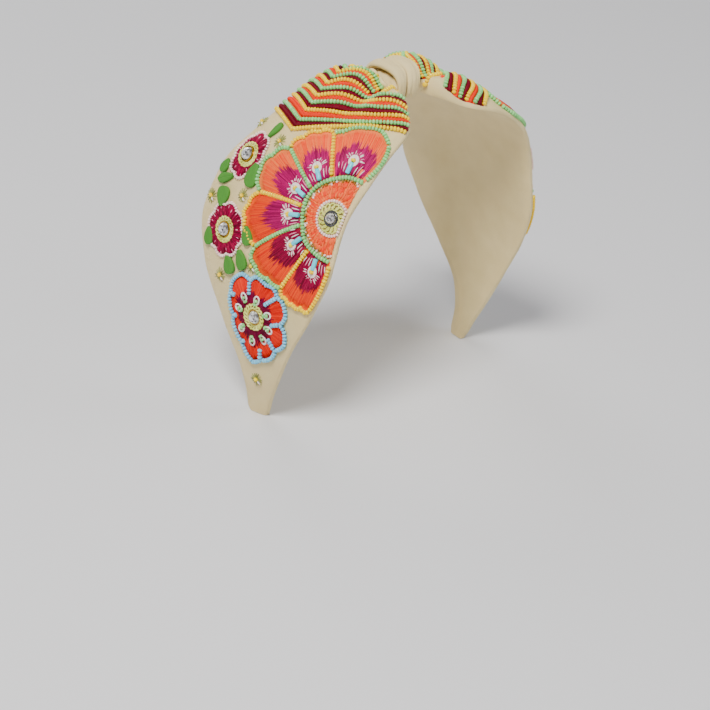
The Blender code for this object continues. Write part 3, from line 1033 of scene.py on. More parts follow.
# %% Beads and cords of the chevrons
CORD_RADIUS = 0.86
CORD_LIFT = 0.30
CORD_TURN = 3.0
CORD_STEP = 0.4
CORD_RANGE = (0.6, 1.05)
GROUND_LIFT = 0.16
PLY_SECTION = rope_section("ply_outline", CORD_RADIUS, 3, 0.30, 12)


def cord_between(side, first, second):
    """Line in space and taper of the cord between two bead rows."""
    place, _, _ = follow(side, (first + second) / 2, CORD_LIFT, CORD_STEP, ends=0.0)
    spread = np.linalg.norm(on_cloth(side, first) - on_cloth(side, second), axis=1)
    room = np.interp(np.linspace(0, 1, len(place)), np.linspace(0, 1, len(first)), spread)
    return place, np.clip(room / 2 - BEAD_RADIUS, *CORD_RANGE) / CORD_RADIUS


def ground_between(side, first, second):
    """Silk ground laid between two bead rows, under their cord."""
    share = np.linspace(0.0, 1.0, len(first))

    def chart(sideways, ahead):
        near, far = (at_ways(ahead, share, line) for line in (first, second))
        return near + (far - near) * sideways[:, None]

    return patch_mesh("strip", side, chart, lambda sideways, ahead: GROUND_LIFT, 4, 90)


def add_stripes(word, side):
    """All chevron rows of a wing."""
    lines = [stripe_line(side, row) for row in STRIPES]
    rows = {"yellow": lines[0::2] + [smooth_line(FRONT_LOBE)], "green": lines[1::2]}
    for colour, runs in rows.items():
        string_beads(f"stripe_beads_{colour}_{word}", colour,
                     [bead_row(side, line) for line in runs], seed=len(colour))
    pairs = list(zip(lines, lines[1:]))
    for start, colour in enumerate(("maroon", "orange")):
        cords, tapers = zip(*(cord_between(side, *pair) for pair in pairs[start::2]))
        tilts = [np.arange(len(line)) * CORD_STEP * 2 * math.pi / CORD_TURN for line in cords]
        name = f"stripe_cords_{colour}_{word}"
        mesh = threads(name, cords, CORD_RADIUS, tapers, tilts, PLY_SECTION, len(colour))
        add_piece(name, mesh, THREADS[colour])
        name = f"stripe_ground_{colour}_{word}"
        grounds = [ground_between(side, *pair) for pair in pairs[start::2]]
        add_piece(name, join_meshes(name, grounds), THREADS[colour])
        print(colour, len(cords), "cords")


for word, side in SIDES:
    add_stripes(word, side)

# %% [markdown]
# ## The big flower
# Its centre lies close to the front edge, which cuts it, so it opens to the back like a fan of
# six petals. Places on it are given as a reach from its centre and a bearing, 0 degrees to the
# knot and 90 to the back. Each petal is padded, filled with long and short silk stitches, and
# outlined in beads. A painted pattern would lie flat, so every stitch is a thread of its own.

# %% Chart of the big flower
FLOWER_CENTRE = (72.0, -26.0)
RING_REACH = (
    (-17.0, 19.4), (3.5, 17.5), (32.0, 15.6), (56.0, 15.3), (79.0, 15.1), (100.0, 14.6),
    (122.0, 14.6), (145.0, 16.0), (173.0, 16.3), (197.0, 17.6),
)
RIM_REACH = (
    (-6.7, 38.4), (1.7, 40.1), (13.2, 39.4), (25.2, 35.6), (31.7, 36.4), (37.5, 37.5),
    (43.6, 38.6), (51.9, 39.2), (59.6, 39.2), (62.5, 38.1), (67.0, 40.6), (76.2, 43.5),
    (83.7, 44.2), (91.2, 41.7), (94.9, 39.5), (100.8, 43.6), (108.6, 46.6), (116.8, 45.7),
    (124.4, 42.7), (126.7, 42.4), (130.5, 45.2), (137.1, 45.8), (143.0, 44.2), (152.0, 40.9),
    (156.9, 40.0), (160.4, 41.6), (168.1, 41.8), (174.1, 41.2), (181.5, 40.6),
)
BORDERS = (
    (-16.9, -14.0, -6.7, "green"),
    (29.2, 30.4, 31.7, "yellow"),
    (64.5, 63.4, 62.5, "green"),
    (92.5, 93.6, 94.9, "yellow"),
    (120.7, 123.6, 126.7, "green"),
    (157.9, 157.4, 156.9, "yellow"),
    (197.0, 189.0, 181.5, "yellow"),
)
PETALS = (
    ("green", 2, "coral", "magenta"),
    ("yellow", 3, "coral", "magenta"),
    ("green", 3, "coral", "magenta"),
    ("yellow", 4, "flame", "magenta"),
    ("green", 3, "flame", "wine"),
    ("yellow", 4, "flame", "wine"),
)
SCALLOP_DEPTH = 1.3
SCALLOP_SHARE = 0.6
PETAL_PAD = 0.9
PAD_EDGE = 0.12


def flower_place(reach, bearing, centre=FLOWER_CENTRE):
    """Place on the cloth for a reach and a bearing in degrees from a flower's centre."""
    angle = np.radians(bearing)
    return np.stack([centre[0] - reach * np.cos(angle), centre[1] + reach * np.sin(angle)], -1)


def from_pairs(pairs, bearing):
    """Reach at a bearing, read from a table."""
    return np.interp(bearing, *np.array(pairs).T)


def border_bearing(border, share):
    """Bearing of a petal's border, from the ring, share 0, to the rim, 1."""
    ring, middle, rim = border[:3]
    slope = 4 * middle - 3 * ring - rim
    bend = 2 * ring + 2 * rim - 4 * middle
    return ring + slope * share + bend * share**2


def rim_reach(number, sideways):
    """Reach of a petal's scalloped rim, from its first border, 0, to its second, 1."""
    bearing = BORDERS[number][2] + (BORDERS[number + 1][2] - BORDERS[number][2]) * sideways
    lobe = np.abs(np.sin(math.pi * PETALS[number][1] * sideways)) ** 0.7
    return from_pairs(RIM_REACH, bearing) + SCALLOP_DEPTH * (lobe - SCALLOP_SHARE)


def petal_place(number, sideways, ahead):
    """Place in a petal: sideways from border to border and ahead from ring to rim, 0 to 1."""
    first = border_bearing(BORDERS[number], ahead)
    second = border_bearing(BORDERS[number + 1], ahead)
    bearing = first + (second - first) * sideways
    ring_bearing = BORDERS[number][0] + (BORDERS[number + 1][0] - BORDERS[number][0]) * sideways
    ring = from_pairs(RING_REACH, ring_bearing)
    return flower_place(ring + (rim_reach(number, sideways) - ring) * ahead, bearing)


def hump(ahead):
    """Half wave over a share from 0 to 1, kept at 0 outside it."""
    return np.clip(np.sin(math.pi * np.clip(ahead, 0.0, 1.0)), 0.0, 1.0)


def pad_height(sideways, ahead):
    """Height of a petal's padding over the cloth."""
    crown = np.clip(4 * sideways * (1 - sideways), 0, 1) ** 0.5
    return PAD_EDGE + PETAL_PAD * crown * hump(ahead) ** 0.5


# %% Padding and stitches of the petals
OUTER_STITCHES = 70
OUTER_STARTS = ((0.12, 0.35, 0.60), (0.40, 0.52, 0.75))
INNER_STITCHES = 84
STITCH_RADIUS = 0.27
STITCH_RISE = 0.1
STITCH_DIVE = 0.28


def uneven(draw, count, low=0.1, high=0.9):
    """Uneven shares from 0 to 1, each drawn when it is asked for."""
    for index in range(count):
        yield (index + draw.uniform(low, high)) / count


def stitch(side, chart, lift, start, end, points=6):
    """One stitch between two share pairs, laid over the padding."""
    t = np.linspace(0.0, 1.0, points)[:, None]
    shares = (np.array(start) * (1 - t) + np.array(end) * t).T
    dive = STITCH_DIVE * (1.0 - np.sin(math.pi * t[:, 0]) ** 0.4)
    return on_cloth(side, chart(*shares), lift(*shares) + STITCH_RISE - dive)


def add_stitches(name, lines, radius, silk, seed):
    """A piece of many stitches of one silk, each thinner at its ends."""
    tapers = [np.clip(1.15 * np.sin(math.pi * np.linspace(0.06, 0.94, len(line))) ** 0.4, 0, 1)
              for line in lines]
    add_piece(name, threads(name, lines, radius, tapers, seed=seed), THREADS[silk])
    print(name, len(lines), "stitches")


def add_threads(name, lines, radius, silk, seed):
    """A piece of even threads of one silk."""
    add_piece(name, threads(name, lines, radius, seed=seed), THREADS[silk])


def petal_stitches(side, number, draw):
    """Stitches of one petal: the outer silk from the rim and the inner from the ring."""
    def chart(sideways, ahead):
        return petal_place(number, sideways, ahead)

    outer, inner = [], []
    for index, share in enumerate(uneven(draw, OUTER_STITCHES, 0.2, 0.8)):
        sideways = 0.04 + 0.92 * share
        middle = abs(2 * sideways - 1)
        nearest, farthest, narrowing = OUTER_STARTS[index % 2]
        low = draw.uniform(nearest, farthest) * (1 - narrowing * middle**2)
        drift = 0.5 + (sideways - 0.5) * 0.93
        outer.append(stitch(side, chart, pad_height, (sideways, 0.97), (drift, low)))
    for share in uneven(draw, INNER_STITCHES):
        sideways = 0.5 + 0.84 * (share - 0.5)
        middle = abs(2 * sideways - 1)
        high = draw.uniform(0.58, 0.78) * (1 - 0.38 * middle**2.4)
        low = draw.choice((0.03, 0.22))
        raised = draw.uniform(0.14, 0.28)
        inner.append(stitch(side, chart, lambda s, a, more=raised: pad_height(s, a) + more,
                            (0.5 + (sideways - 0.5) * 0.97, low), (sideways, high)))
    return outer, inner


def add_petals(word, side):
    """Padding and stitches of the six petals of a wing."""
    draw = np.random.default_rng(7)
    pads = {"coral": [], "flame": []}
    lines = {"coral": [], "flame": [], "magenta": [], "wine": []}
    for number, (_, _, outer_silk, inner_silk) in enumerate(PETALS):
        pads[outer_silk].append(patch_mesh("pad", side, lambda s, a: petal_place(number, s, a),
                                           pad_height, 48, 20))
        outer, inner = petal_stitches(side, number, draw)
        lines[outer_silk] += outer
        lines[inner_silk] += inner
    for silk, meshes in pads.items():
        name = f"petal_padding_{silk}_{word}"
        add_piece(name, join_meshes(name, meshes), THREADS[silk])
    for silk, stitches in lines.items():
        add_stitches(f"petal_stitches_{silk}_{word}", stitches, STITCH_RADIUS, silk, 3)


# %% Outlines and ring of the big flower
BORDER_START = 1.6
RING_LIFT = 0.85


def add_flower_outlines(word, side):
    """Bead rows round the petals and the centre ring."""
    rows = {"green": [], "yellow": []}
    share = np.linspace(0.0, 1.0, 30)
    for border in BORDERS:
        start = from_pairs(RING_REACH, border[0]) + BORDER_START
        rim = from_pairs(RIM_REACH, border[2]) - SCALLOP_SHARE * SCALLOP_DEPTH
        line = flower_place(start + (rim - start) * share, border_bearing(border, share))
        rows[border[3]].append(bead_row(side, line))
    sideways = np.linspace(0.02, 0.98, 80)
    for number, petal in enumerate(PETALS):
        rows[petal[0]].append(bead_row(side, petal_place(number, sideways, 1.0)))
    bearings, reaches = np.array(RING_REACH).T
    ring = smooth_line(flower_place(reaches, bearings))
    rows["green"].append(bead_row(side, ring, RING_LIFT))
    for colour, runs in rows.items():
        string_beads(f"flower_beads_{colour}_{word}", colour, runs, seed=20 + len(colour))


for word, side in SIDES:
    add_petals(word, side)
    add_flower_outlines(word, side)

# %% [markdown]
# ## The big flower's heart
# Short coral stitches fill a disc round the stone, with loose seeds at its rim, a ring of small
# beads and a ring of lime chain stitch. The front edge of the wing cuts it all. A disc could be
# cut off by a boolean, but a stitcher shortens the stitches at the edge, and so does the loop.

# %% Single pieces and small rings
FRONT_LIMIT = 31.0
CHAIN_SWAY = 0.22


def set_on(side, places, headings, lift):
    """Spots for single pieces at places, each heading a given way in degrees on the cloth."""
    places = np.asarray(places, dtype=float)
    angle = np.radians(headings)
    there = places + 0.2 * np.stack([np.cos(angle), np.sin(angle)], -1)
    here = on_cloth(side, places, lift)
    return here, unit(on_cloth(side, there, lift) - here), outward(side, *places.T)


def within_front(places):
    """Places kept behind the front edge."""
    return np.stack([places[..., 0], np.maximum(places[..., 1], -FRONT_LIMIT)], -1)


def oval(side, middle, heading, long, wide, lift, sway=0.0):
    """Closed oval of thread on the cloth, its far end raised by sway."""
    turn = np.linspace(0.0, 2 * math.pi, 15)
    angle = math.radians(heading)
    ahead = np.array([math.cos(angle), math.sin(angle)])
    aside = np.array([-ahead[1], ahead[0]])
    places = middle + np.outer(np.cos(turn) * long / 2, ahead)
    places = within_front(places + np.outer(np.sin(turn) * wide / 2, aside))
    return on_cloth(side, places, lift + sway * np.cos(turn))


def chain_ring(side, centre, reach, count, long, wide, slant, lift):
    """Ovals of thread that lean on each other round a centre."""
    return [oval(side, flower_place(reach, bearing, centre), 180.0 - bearing + slant,
                 long, wide, lift, CHAIN_SWAY)
            for bearing in np.arange(count) * 360.0 / count]


def straight(side, start, end, lift, rise=0.15):
    """Short stitch between two places."""
    t = np.linspace(0.0, 1.0, 4)[:, None]
    places = within_front(np.array(start) * (1 - t) + np.array(end) * t)
    return on_cloth(side, places, lift + rise * np.sin(math.pi * t[:, 0]))


# %% Disc, seeds, bead ring and chain ring
DISC_FROM = -36.0
DISC_SPAN = 252.0
DISC_START = 6.6
DISC_END = 13.8
DISC_GAP = 1.6
DISC_RINGS = ((7.9, 10.3, 62), (9.7, 12.2, 76), (11.5, 13.9, 88))
DISC_HEIGHT = 0.35
DISC_STITCH_RADIUS = 0.42
SHORTEST_STITCH = 1.0
SEED_COUNTS = (("gold", 44), ("pearl", 26))
SEED_SIZE = 0.85
SEED_LIFT = 0.6
BEAD_RING = 7.1
CHAIN_REACH = 4.7
CHAIN_RADIUS = 0.40


def disc_reach(reach, bearing):
    """A reach on a round disc, stretched to end beside the bead ring at its bearing."""
    outer = from_pairs(RING_REACH, bearing) - DISC_GAP
    share = (reach - DISC_START) / (DISC_END - DISC_START)
    return DISC_START + (outer - DISC_START) * share


def disc_chart(sideways, ahead):
    """Place on the disc, sideways round it and ahead from its heart to its rim, 0 to 1."""
    bearing = DISC_FROM + DISC_SPAN * sideways
    reach = DISC_START + (DISC_END - DISC_START) * ahead
    return within_front(flower_place(disc_reach(reach, bearing), bearing))


def disc_stitches(side, draw):
    """Short stitches in rings, cut short by the front edge."""
    room = -FRONT_LIMIT - FLOWER_CENTRE[1]
    lines = []
    for near, far, count in DISC_RINGS:
        for share in uneven(draw, count):
            bearing = DISC_FROM + DISC_SPAN * share
            fall = math.sin(math.radians(bearing))
            start = disc_reach(near + draw.uniform(-0.5, 0.5), bearing)
            end = disc_reach(far + draw.uniform(-0.7, 0.5), bearing)
            if fall < 0:
                end = min(end, room / fall)
            if end - start > SHORTEST_STITCH:
                ends = (flower_place(reach, bearing) for reach in (start, end))
                lines.append(straight(side, *ends, DISC_HEIGHT))
    return lines


def add_disc(word, side):
    """The stitched disc of the big flower with its rings."""
    draw = np.random.default_rng(17)
    ground = patch_mesh(f"disc_ground_{word}", side, disc_chart,
                        lambda s, a: 0.15 + 0.2 * np.sin(math.pi * a), 80, 6)
    add_piece(ground.name, ground, THREADS["coral"])
    add_stitches(f"disc_stitches_{word}", disc_stitches(side, draw), DISC_STITCH_RADIUS,
                 "coral", 6)
    for colour, count in SEED_COUNTS:
        bearing = draw.uniform(-22.0, 202.0, count)
        reach = disc_reach(draw.uniform(12.9, 14.4, count), bearing)
        places = within_front(flower_place(reach, bearing))
        spots = set_on(side, places, draw.uniform(0.0, 360.0, count), SEED_LIFT)
        add_beads(f"disc_seeds_{colour}_{word}", colour, spots, SEED_SIZE, count, SMALL_BEAD)
    ring = within_front(flower_place(BEAD_RING, np.linspace(0.0, 360.0, 90)))
    string_beads(f"disc_ring_{word}", "pearl", [small_bead_row(side, ring, 0.7)], 31,
                 SMALL_BEAD)
    chain = chain_ring(side, FLOWER_CENTRE, CHAIN_REACH, 15, 3.4, 2.1, 50.0, 0.7)
    add_threads(f"disc_chain_{word}", chain, CHAIN_RADIUS, "lime", 32)


# %% Stamens of the petals
BUGLE_RADIUS = 1.0
BUGLE_LENGTH = 4.8
BUGLE_START = 1.3
BUGLE = barrel(BUGLE_RADIUS, BUGLE_LENGTH, 12, 0.18)
TIP_GAP = 0.9
STAMEN_LIFT = 1.25
STAMEN_LOOPS = (4.6, 3.6, 2.6)
LOOP_ROUNDNESS = 0.86
LOOP_RADIUS = 0.36
RAYS = 13
RAY_FAN = 84.0
SIDE_STITCHES = ((7.0, 0.6, 4.9, "white"), (10.5, 1.4, 5.8, "rose"), (14.5, 1.8, 4.6, "white"))
TICK_RADIUS = 0.24


def add_petal_stamens(word, side):
    """Bugle bead, yellow bead in a white loop and short stitches at the foot of each petal."""
    draw = np.random.default_rng(23)
    tubes, tips, headings, loops = [], [], [], []
    ticks = {"white": [], "rose": []}
    for first, second in zip(BORDERS, BORDERS[1:]):
        bearing = (first[0] + second[0]) / 2
        foot = from_pairs(RING_REACH, bearing) + BUGLE_START
        heading = 180.0 - bearing
        tip = flower_place(foot + BUGLE_LENGTH + TIP_GAP, bearing)
        tubes.append(flower_place(foot + BUGLE_LENGTH / 2, bearing))
        tips.append(tip)
        headings.append(heading)
        for size in STAMEN_LOOPS:
            loops.append(oval(side, tip, heading, size, size * LOOP_ROUNDNESS,
                              STAMEN_LIFT + 0.15))
        for index, turn in enumerate(np.linspace(-RAY_FAN, RAY_FAN, RAYS)):
            angle = math.radians(heading + turn + draw.uniform(-5, 5))
            way = np.array([math.cos(angle), math.sin(angle)])
            near, far = 2.3 + draw.uniform(0, 0.4), 3.5 + draw.uniform(0, 1.7)
            ray = straight(side, tip + way * near, tip + way * far, STAMEN_LIFT)
            ticks["rose" if index % 3 == 1 else "white"].append(ray)
        for turn in (-1, 1):
            for offset, start, end, silk in SIDE_STITCHES:
                ways = flower_place(np.array([foot + start, foot + end]),
                                    bearing + turn * offset * np.array([1.0, 1.05]))
                ticks[silk].append(straight(side, *ways, STAMEN_LIFT - 0.2))
    spots = set_on(side, tubes, headings, STAMEN_LIFT + 0.3)
    add_beads(f"petal_bugles_{word}", "turquoise", spots, seed=41, pattern=BUGLE)
    spots = set_on(side, tips, headings, STAMEN_LIFT + 0.5)
    add_beads(f"petal_stamen_beads_{word}", "yellow", spots, 1.15, 42)
    add_stitches(f"petal_ticks_{word}", ticks["white"], TICK_RADIUS, "white", 43)
    add_stitches(f"petal_blush_{word}", ticks["rose"], TICK_RADIUS, "rose", 44)
    add_threads(f"petal_loops_{word}", loops, LOOP_RADIUS, "white", 45)


for word, side in SIDES:
    add_disc(word, side)
    add_petal_stamens(word, side)

# %% [markdown]
# ## Small maroon flowers
# Two flowers of eight lobes sit behind the big one, the upper one oval and the lower one nearly
# round. A stitcher fills them with spokes of silk over a pad and rings the stone with a cord.
# One mound with a radial texture would do from afar, but up close each spoke catches the light.

# %% Padded flowers of spokes
SPOKE_LIFT = 0.12
CORD_RING = 4.5
RING_OVALS = 18
RING_THREAD = 0.44


def mound(ahead):
    """Height of a small flower's padding from its heart, 0, to its rim, 1."""
    return 0.1 + 0.8 * hump(ahead) ** 0.6


def spoke(side, centre, bearing, start, end, rim, lift=SPOKE_LIFT):
    """Stitch along a bearing over a small flower's padding."""
    reach = np.linspace(start, end, 5)
    return on_cloth(side, flower_place(reach, bearing, centre), mound(reach / rim) + lift)


def add_flower_pad(name, side, centre, rim, silk, steps):
    """Padding of a small flower whose rim is a function of the bearing."""
    def chart(sideways, ahead):
        return flower_place(rim(360.0 * sideways) * ahead, 360.0 * sideways, centre)

    pad = patch_mesh(name, side, chart, lambda sideways, ahead: mound(ahead), steps, 10)
    add_piece(name, pad, THREADS[silk])


# %% Maroon flowers
MAROON_FLOWERS = (
    ("upper", (64.1, 28.0), 11.6, 8.3, 24.0),
    ("lower", (97.0, 26.6), 11.5, 11.1, 0.0),
)
MAROON_LOBES = 8
MAROON_NOTCH = 0.13
MAROON_SPOKES = ((5.0, 0.80, 70), (6.6, 0.97, 96))
MAROON_SPOKE_RADIUS = 0.36
FLECKS = 18
FLECK_LENGTH = 1.3
FLECK_LIFT = 0.34
FLECK_RADIUS = 0.22


def lobed_reach(bearing, long, short, heading):
    """Rim of an oval maroon flower at a bearing in degrees."""
    angle = np.radians(180.0 - bearing - heading)
    reach = long * short / np.hypot(short * np.cos(angle), long * np.sin(angle))
    wave = np.abs(np.cos(np.radians(bearing) * MAROON_LOBES / 2)) ** 0.7
    return reach * (1.0 - MAROON_NOTCH * (1.0 - wave))


def add_maroon_flower(name, word, side, centre, oval_shape):
    """An oval flower of spokes with its bead outline and cord ring."""
    draw = np.random.default_rng(51)
    label = f"{name}_flower"

    def rim_at(bearing):
        return lobed_reach(bearing, *oval_shape)

    add_flower_pad(f"{label}_padding_{word}", side, centre, rim_at, "wine", 96)
    lines, flecks = [], []
    for start, share, count in MAROON_SPOKES:
        for bearing in (360.0 * part for part in uneven(draw, count)):
            rim = rim_at(bearing)
            lines.append(spoke(side, centre, bearing, start + draw.uniform(-0.4, 0.4),
                               rim * share - draw.uniform(0.0, 0.8), rim))
    add_stitches(f"{label}_spokes_{word}", lines, MAROON_SPOKE_RADIUS, "wine", 52)
    for bearing in (360.0 * part for part in uneven(draw, FLECKS)):
        rim = rim_at(bearing)
        start = rim * draw.uniform(0.68, 0.84)
        flecks.append(spoke(side, centre, bearing, start, start + FLECK_LENGTH, rim, FLECK_LIFT))
    add_stitches(f"{label}_flecks_{word}", flecks, FLECK_RADIUS, "rose", 55)
    bearing = np.linspace(0.0, 360.0, 150)
    outline = small_bead_row(side, flower_place(rim_at(bearing), bearing, centre))
    string_beads(f"{label}_outline_{word}", "pearl", [outline], 53, SMALL_BEAD)
    ring = chain_ring(side, centre, CORD_RING, RING_OVALS, 2.4, 1.3, 62.0, 1.05)
    add_threads(f"{label}_ring_{word}", ring, RING_THREAD, "lime", 54)


for word, side in SIDES:
    for name, centre, *oval_shape in MAROON_FLOWERS:
        add_maroon_flower(name, word, side, centre, oval_shape)

# %% [markdown]
# ## Blue-edged flower
# Below the big flower sits a longer one of eight petals, its outline and dividers in sky blue
# beads, with eight stamens of two green beads in a white loop. Its rim is uneven, so it is a
# short table of bearings and reaches, not a formula.

# %% Blue-edged flower
BLUE_CENTRE = (126.0, 2.0)
BLUE_HEART = (126.0, 0.8)
BLUE_RIM = (
    (4, 17.3), (16, 15.8), (31, 17.8), (53, 17.2), (69, 15.8), (87, 13.6), (111, 11.9),
    (121, 12.7), (143, 13.4), (163, 15.6), (175, 18.5), (186, 20.7), (200, 19.7), (223, 18.7),
    (234, 18.1), (253, 19.4), (271, 18.0), (278, 16.3), (291, 18.8), (310, 19.1), (318, 18.3),
    (331, 18.4), (345, 16.0),
)
BLUE_LOBE = 1.2
BLUE_DIVIDERS = (
    (16, 15.8, 20, 9.0), (69, 15.8, 64, 12.0), (111, 11.9, 108, 9.1), (163, 15.6, 167, 12.5),
    (200, 19.7, 206, 14.0), (234, 18.1, 238, 11.7), (278, 16.3, 270, 10.8), (318, 18.3, 321, 9.5),
)
DIVIDER_START = 1.3
DIVIDER_LIFT = 1.3
BLUE_STAMENS = ((41, 8.5), (349, 7.8), (293, 9.2), (257, 10.4), (224, 11.0), (188, 11.0),
                (146, 8.8), (84, 7.8))
BLUE_STITCHES = 230
BLUE_INNER_STITCHES = 150
BLUE_HEART_START = 3.5
BLUE_SILK_RADIUS = 0.26


def blue_rim(bearing):
    """Reach of the blue-edged flower's rim, drawn in a little at every divider."""
    notches = np.array([row[0] for row in BLUE_DIVIDERS] + [BLUE_DIVIDERS[0][0] + 360.0])
    past = (np.asarray(bearing) - notches[0]) % 360.0 + notches[0]
    petal = np.interp(past, notches, np.arange(len(notches)))
    lobe = np.abs(np.sin(math.pi * petal)) ** 0.6
    reach = np.interp(bearing, *np.array(BLUE_RIM, dtype=float).T, period=360.0)
    return reach + BLUE_LOBE * (lobe - 0.75)


def blue_stitches(side, draw):
    """Outer stitches from the rim, and heart stitches that reach farther at the dividers."""
    outer, inner = [], []
    for bearing in (360.0 * part for part in uneven(draw, BLUE_STITCHES)):
        rim = blue_rim(bearing)
        outer.append(spoke(side, BLUE_CENTRE, bearing, rim * draw.uniform(0.40, 0.55),
                           rim * 0.95, rim))
    for bearing in (360.0 * part for part in uneven(draw, BLUE_INNER_STITCHES)):
        rim = blue_rim(bearing)
        aside = min(abs((bearing - row[0] + 180) % 360 - 180) for row in BLUE_DIVIDERS)
        reach = rim * (0.72 - 0.16 * min(aside / 22.0, 1.0) + draw.uniform(-0.06, 0.05))
        inner.append(spoke(side, BLUE_CENTRE, bearing, BLUE_HEART_START, reach, rim, 0.32))
    return outer, inner


def add_blue_flower(word, side):
    """The blue-edged flower: padding, stitches, bead rows, stamens and ring."""
    add_flower_pad(f"blue_flower_padding_{word}", side, BLUE_CENTRE, blue_rim, "red_coral", 110)
    outer, inner = blue_stitches(side, np.random.default_rng(61))
    add_stitches(f"blue_flower_coral_{word}", outer, BLUE_SILK_RADIUS, "red_coral", 62)
    add_stitches(f"blue_flower_heart_{word}", inner, BLUE_SILK_RADIUS, "plum", 63)
    bearing = np.linspace(0.0, 360.0, 181)
    rows = [bead_row(side, flower_place(blue_rim(bearing), bearing, BLUE_CENTRE))]
    for rim_bearing, rim, end_bearing, end in BLUE_DIVIDERS:
        ways = flower_place(np.array([rim - DIVIDER_START, end]),
                            np.array([rim_bearing, end_bearing]), BLUE_CENTRE)
        rows.append(bead_row(side, resampled(ways, 20), DIVIDER_LIFT))
    string_beads(f"blue_flower_beads_{word}", "blue", rows, 64)
    beads, headings, loops = [], [], []
    for bearing, reach in BLUE_STAMENS:
        tip = flower_place(reach, bearing, BLUE_CENTRE)
        loops.append(oval(side, tip, 180.0 - bearing, 3.6, 2.7, 1.35))
        for back in (0.3, 2.0):
            beads.append(flower_place(reach - back, bearing, BLUE_CENTRE))
            headings.append(180.0 - bearing)
    add_threads(f"blue_flower_loops_{word}", loops, 0.42, "white", 65)
    spots = set_on(side, beads, headings, 1.5)
    add_beads(f"blue_flower_stamen_beads_{word}", "green", spots, 0.95, 66)
    ring = chain_ring(side, BLUE_HEART, CORD_RING, RING_OVALS, 2.6, 1.4, 58.0, 1.3)
    add_threads(f"blue_flower_ring_{word}", ring, RING_THREAD, "lime", 67)


for word, side in SIDES:
    add_blue_flower(word, side)

# %% [markdown]
# ## Stones, leaves and stars
# Cut stones sit in thin pressed cups. The solid stones are plain turned forms, so each gets a
# hull of real facets, which breaks up reflections as glass does, and a rolled rim; each facet
# is also painted a random grey from white to dark, a painted reflection. Leaves are
# cut from green cloth with a raised middle. Thread stars fill the gaps.

# %% Cut stones in their cups
CUP_RADIUS = 3.4
CENTRE_STONE_RADIUS = 2.7
STONE_HEIGHT = 3.0
STONE_SHARE = 0.85
SEAT_GAP = 0.3
STONES = (
    ("big_flower_stone", 0.416, -0.772, CENTRE_STONE_RADIUS, "silver"),
    ("upper_flower_stone", 0.370, 0.640, CUP_RADIUS, "gilt"),
    ("lower_flower_stone", 0.560, 0.600, CUP_RADIUS, "gilt"),
    ("blue_flower_stone", 0.727, 0.012, CUP_RADIUS, "gilt"),
)
STONE_RINGS = ((16, 1.0, 0.20), (16, 1.0, 0.34), (16, 0.82, 0.66), (8, 0.60, 0.88),
               (8, 0.34, 1.00))
CUP_PROFILE = ((0.80, 0.0), (1.24, 0.5), (1.26, 0.62), (1.02, 0.66), (1.03, 1.0), (0.99, 1.25),
               (0.88, 1.2), (0.85, 0.9))


def width_at(share):
    """Way across for a share of the front or back width."""
    return share * (BACK_WIDTH if share > 0 else FRONT_WIDTH)


def crystal_pattern(radius, height):
    """Facets of a cut stone: the hull of a few rings of points."""
    shape = bmesh.new()
    for number, (count, reach, up) in enumerate(STONE_RINGS):
        for index in range(count):
            angle = 2 * math.pi * (index + 0.5 * (number % 2)) / count
            shape.verts.new((radius * reach * math.cos(angle), radius * reach * math.sin(angle),
                             height * up))
    bmesh.ops.convex_hull(shape, input=shape.verts)
    bmesh.ops.dissolve_limit(shape, angle_limit=0.02, verts=shape.verts, edges=shape.edges)
    return template(shape)


def cup_pattern(radius):
    """Thin cup: a turned profile with a flange at its foot and a rolled rim."""
    shape = bmesh.new()
    points = [shape.verts.new((radius * x, 0.0, z)) for x, z in CUP_PROFILE]
    edges = [shape.edges.new(pair) for pair in zip(points, points[1:] + points[:1])]
    bmesh.ops.spin(shape, geom=points + edges, cent=(0, 0, 0), axis=(0, 0, 1),
                   angle=2 * math.pi, steps=32, use_merge=True)
    bmesh.ops.remove_doubles(shape, verts=shape.verts, dist=0.001)
    bmesh.ops.recalc_face_normals(shape, faces=shape.faces)
    return template(shape)


def add_stone(word, side, name, along, across, radius, metal):
    """A faceted stone, which stands for the solid one, and its cup."""
    place = [(along * HALF_LENGTH, width_at(across))]
    sag = radius**2 / (2 * CROWN_RADIUS)
    spots = set_on(side, place, [0.0], SEAT_GAP + sag)
    stone = joined_copies(f"{name}_crystal_{word}",
                          crystal_pattern(radius * STONE_SHARE, STONE_HEIGHT), spots, sharp=5.0)
    stone.attributes.remove(stone.attributes["tint"])
    # A random tint for each facet, which the crystal's material turns into a painted reflection,
    # light or dark.
    set_tint(stone, np.random.default_rng(81).random(len(stone.polygons)), "FACE")
    piece = add_piece(stone.name, stone, CRYSTAL_PAINTED_REFLECTIONS)
    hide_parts(f"{name}_{word}")
    cup = joined_copies(f"{name}_cup_{word}", cup_pattern(radius), spots, sharp=40.0)
    add_piece(cup.name, cup, METALS[metal])


for word, side in SIDES:
    for row in STONES:
        add_stone(word, side, *row)
    print("stones of the", word, "wing", len(STONES))

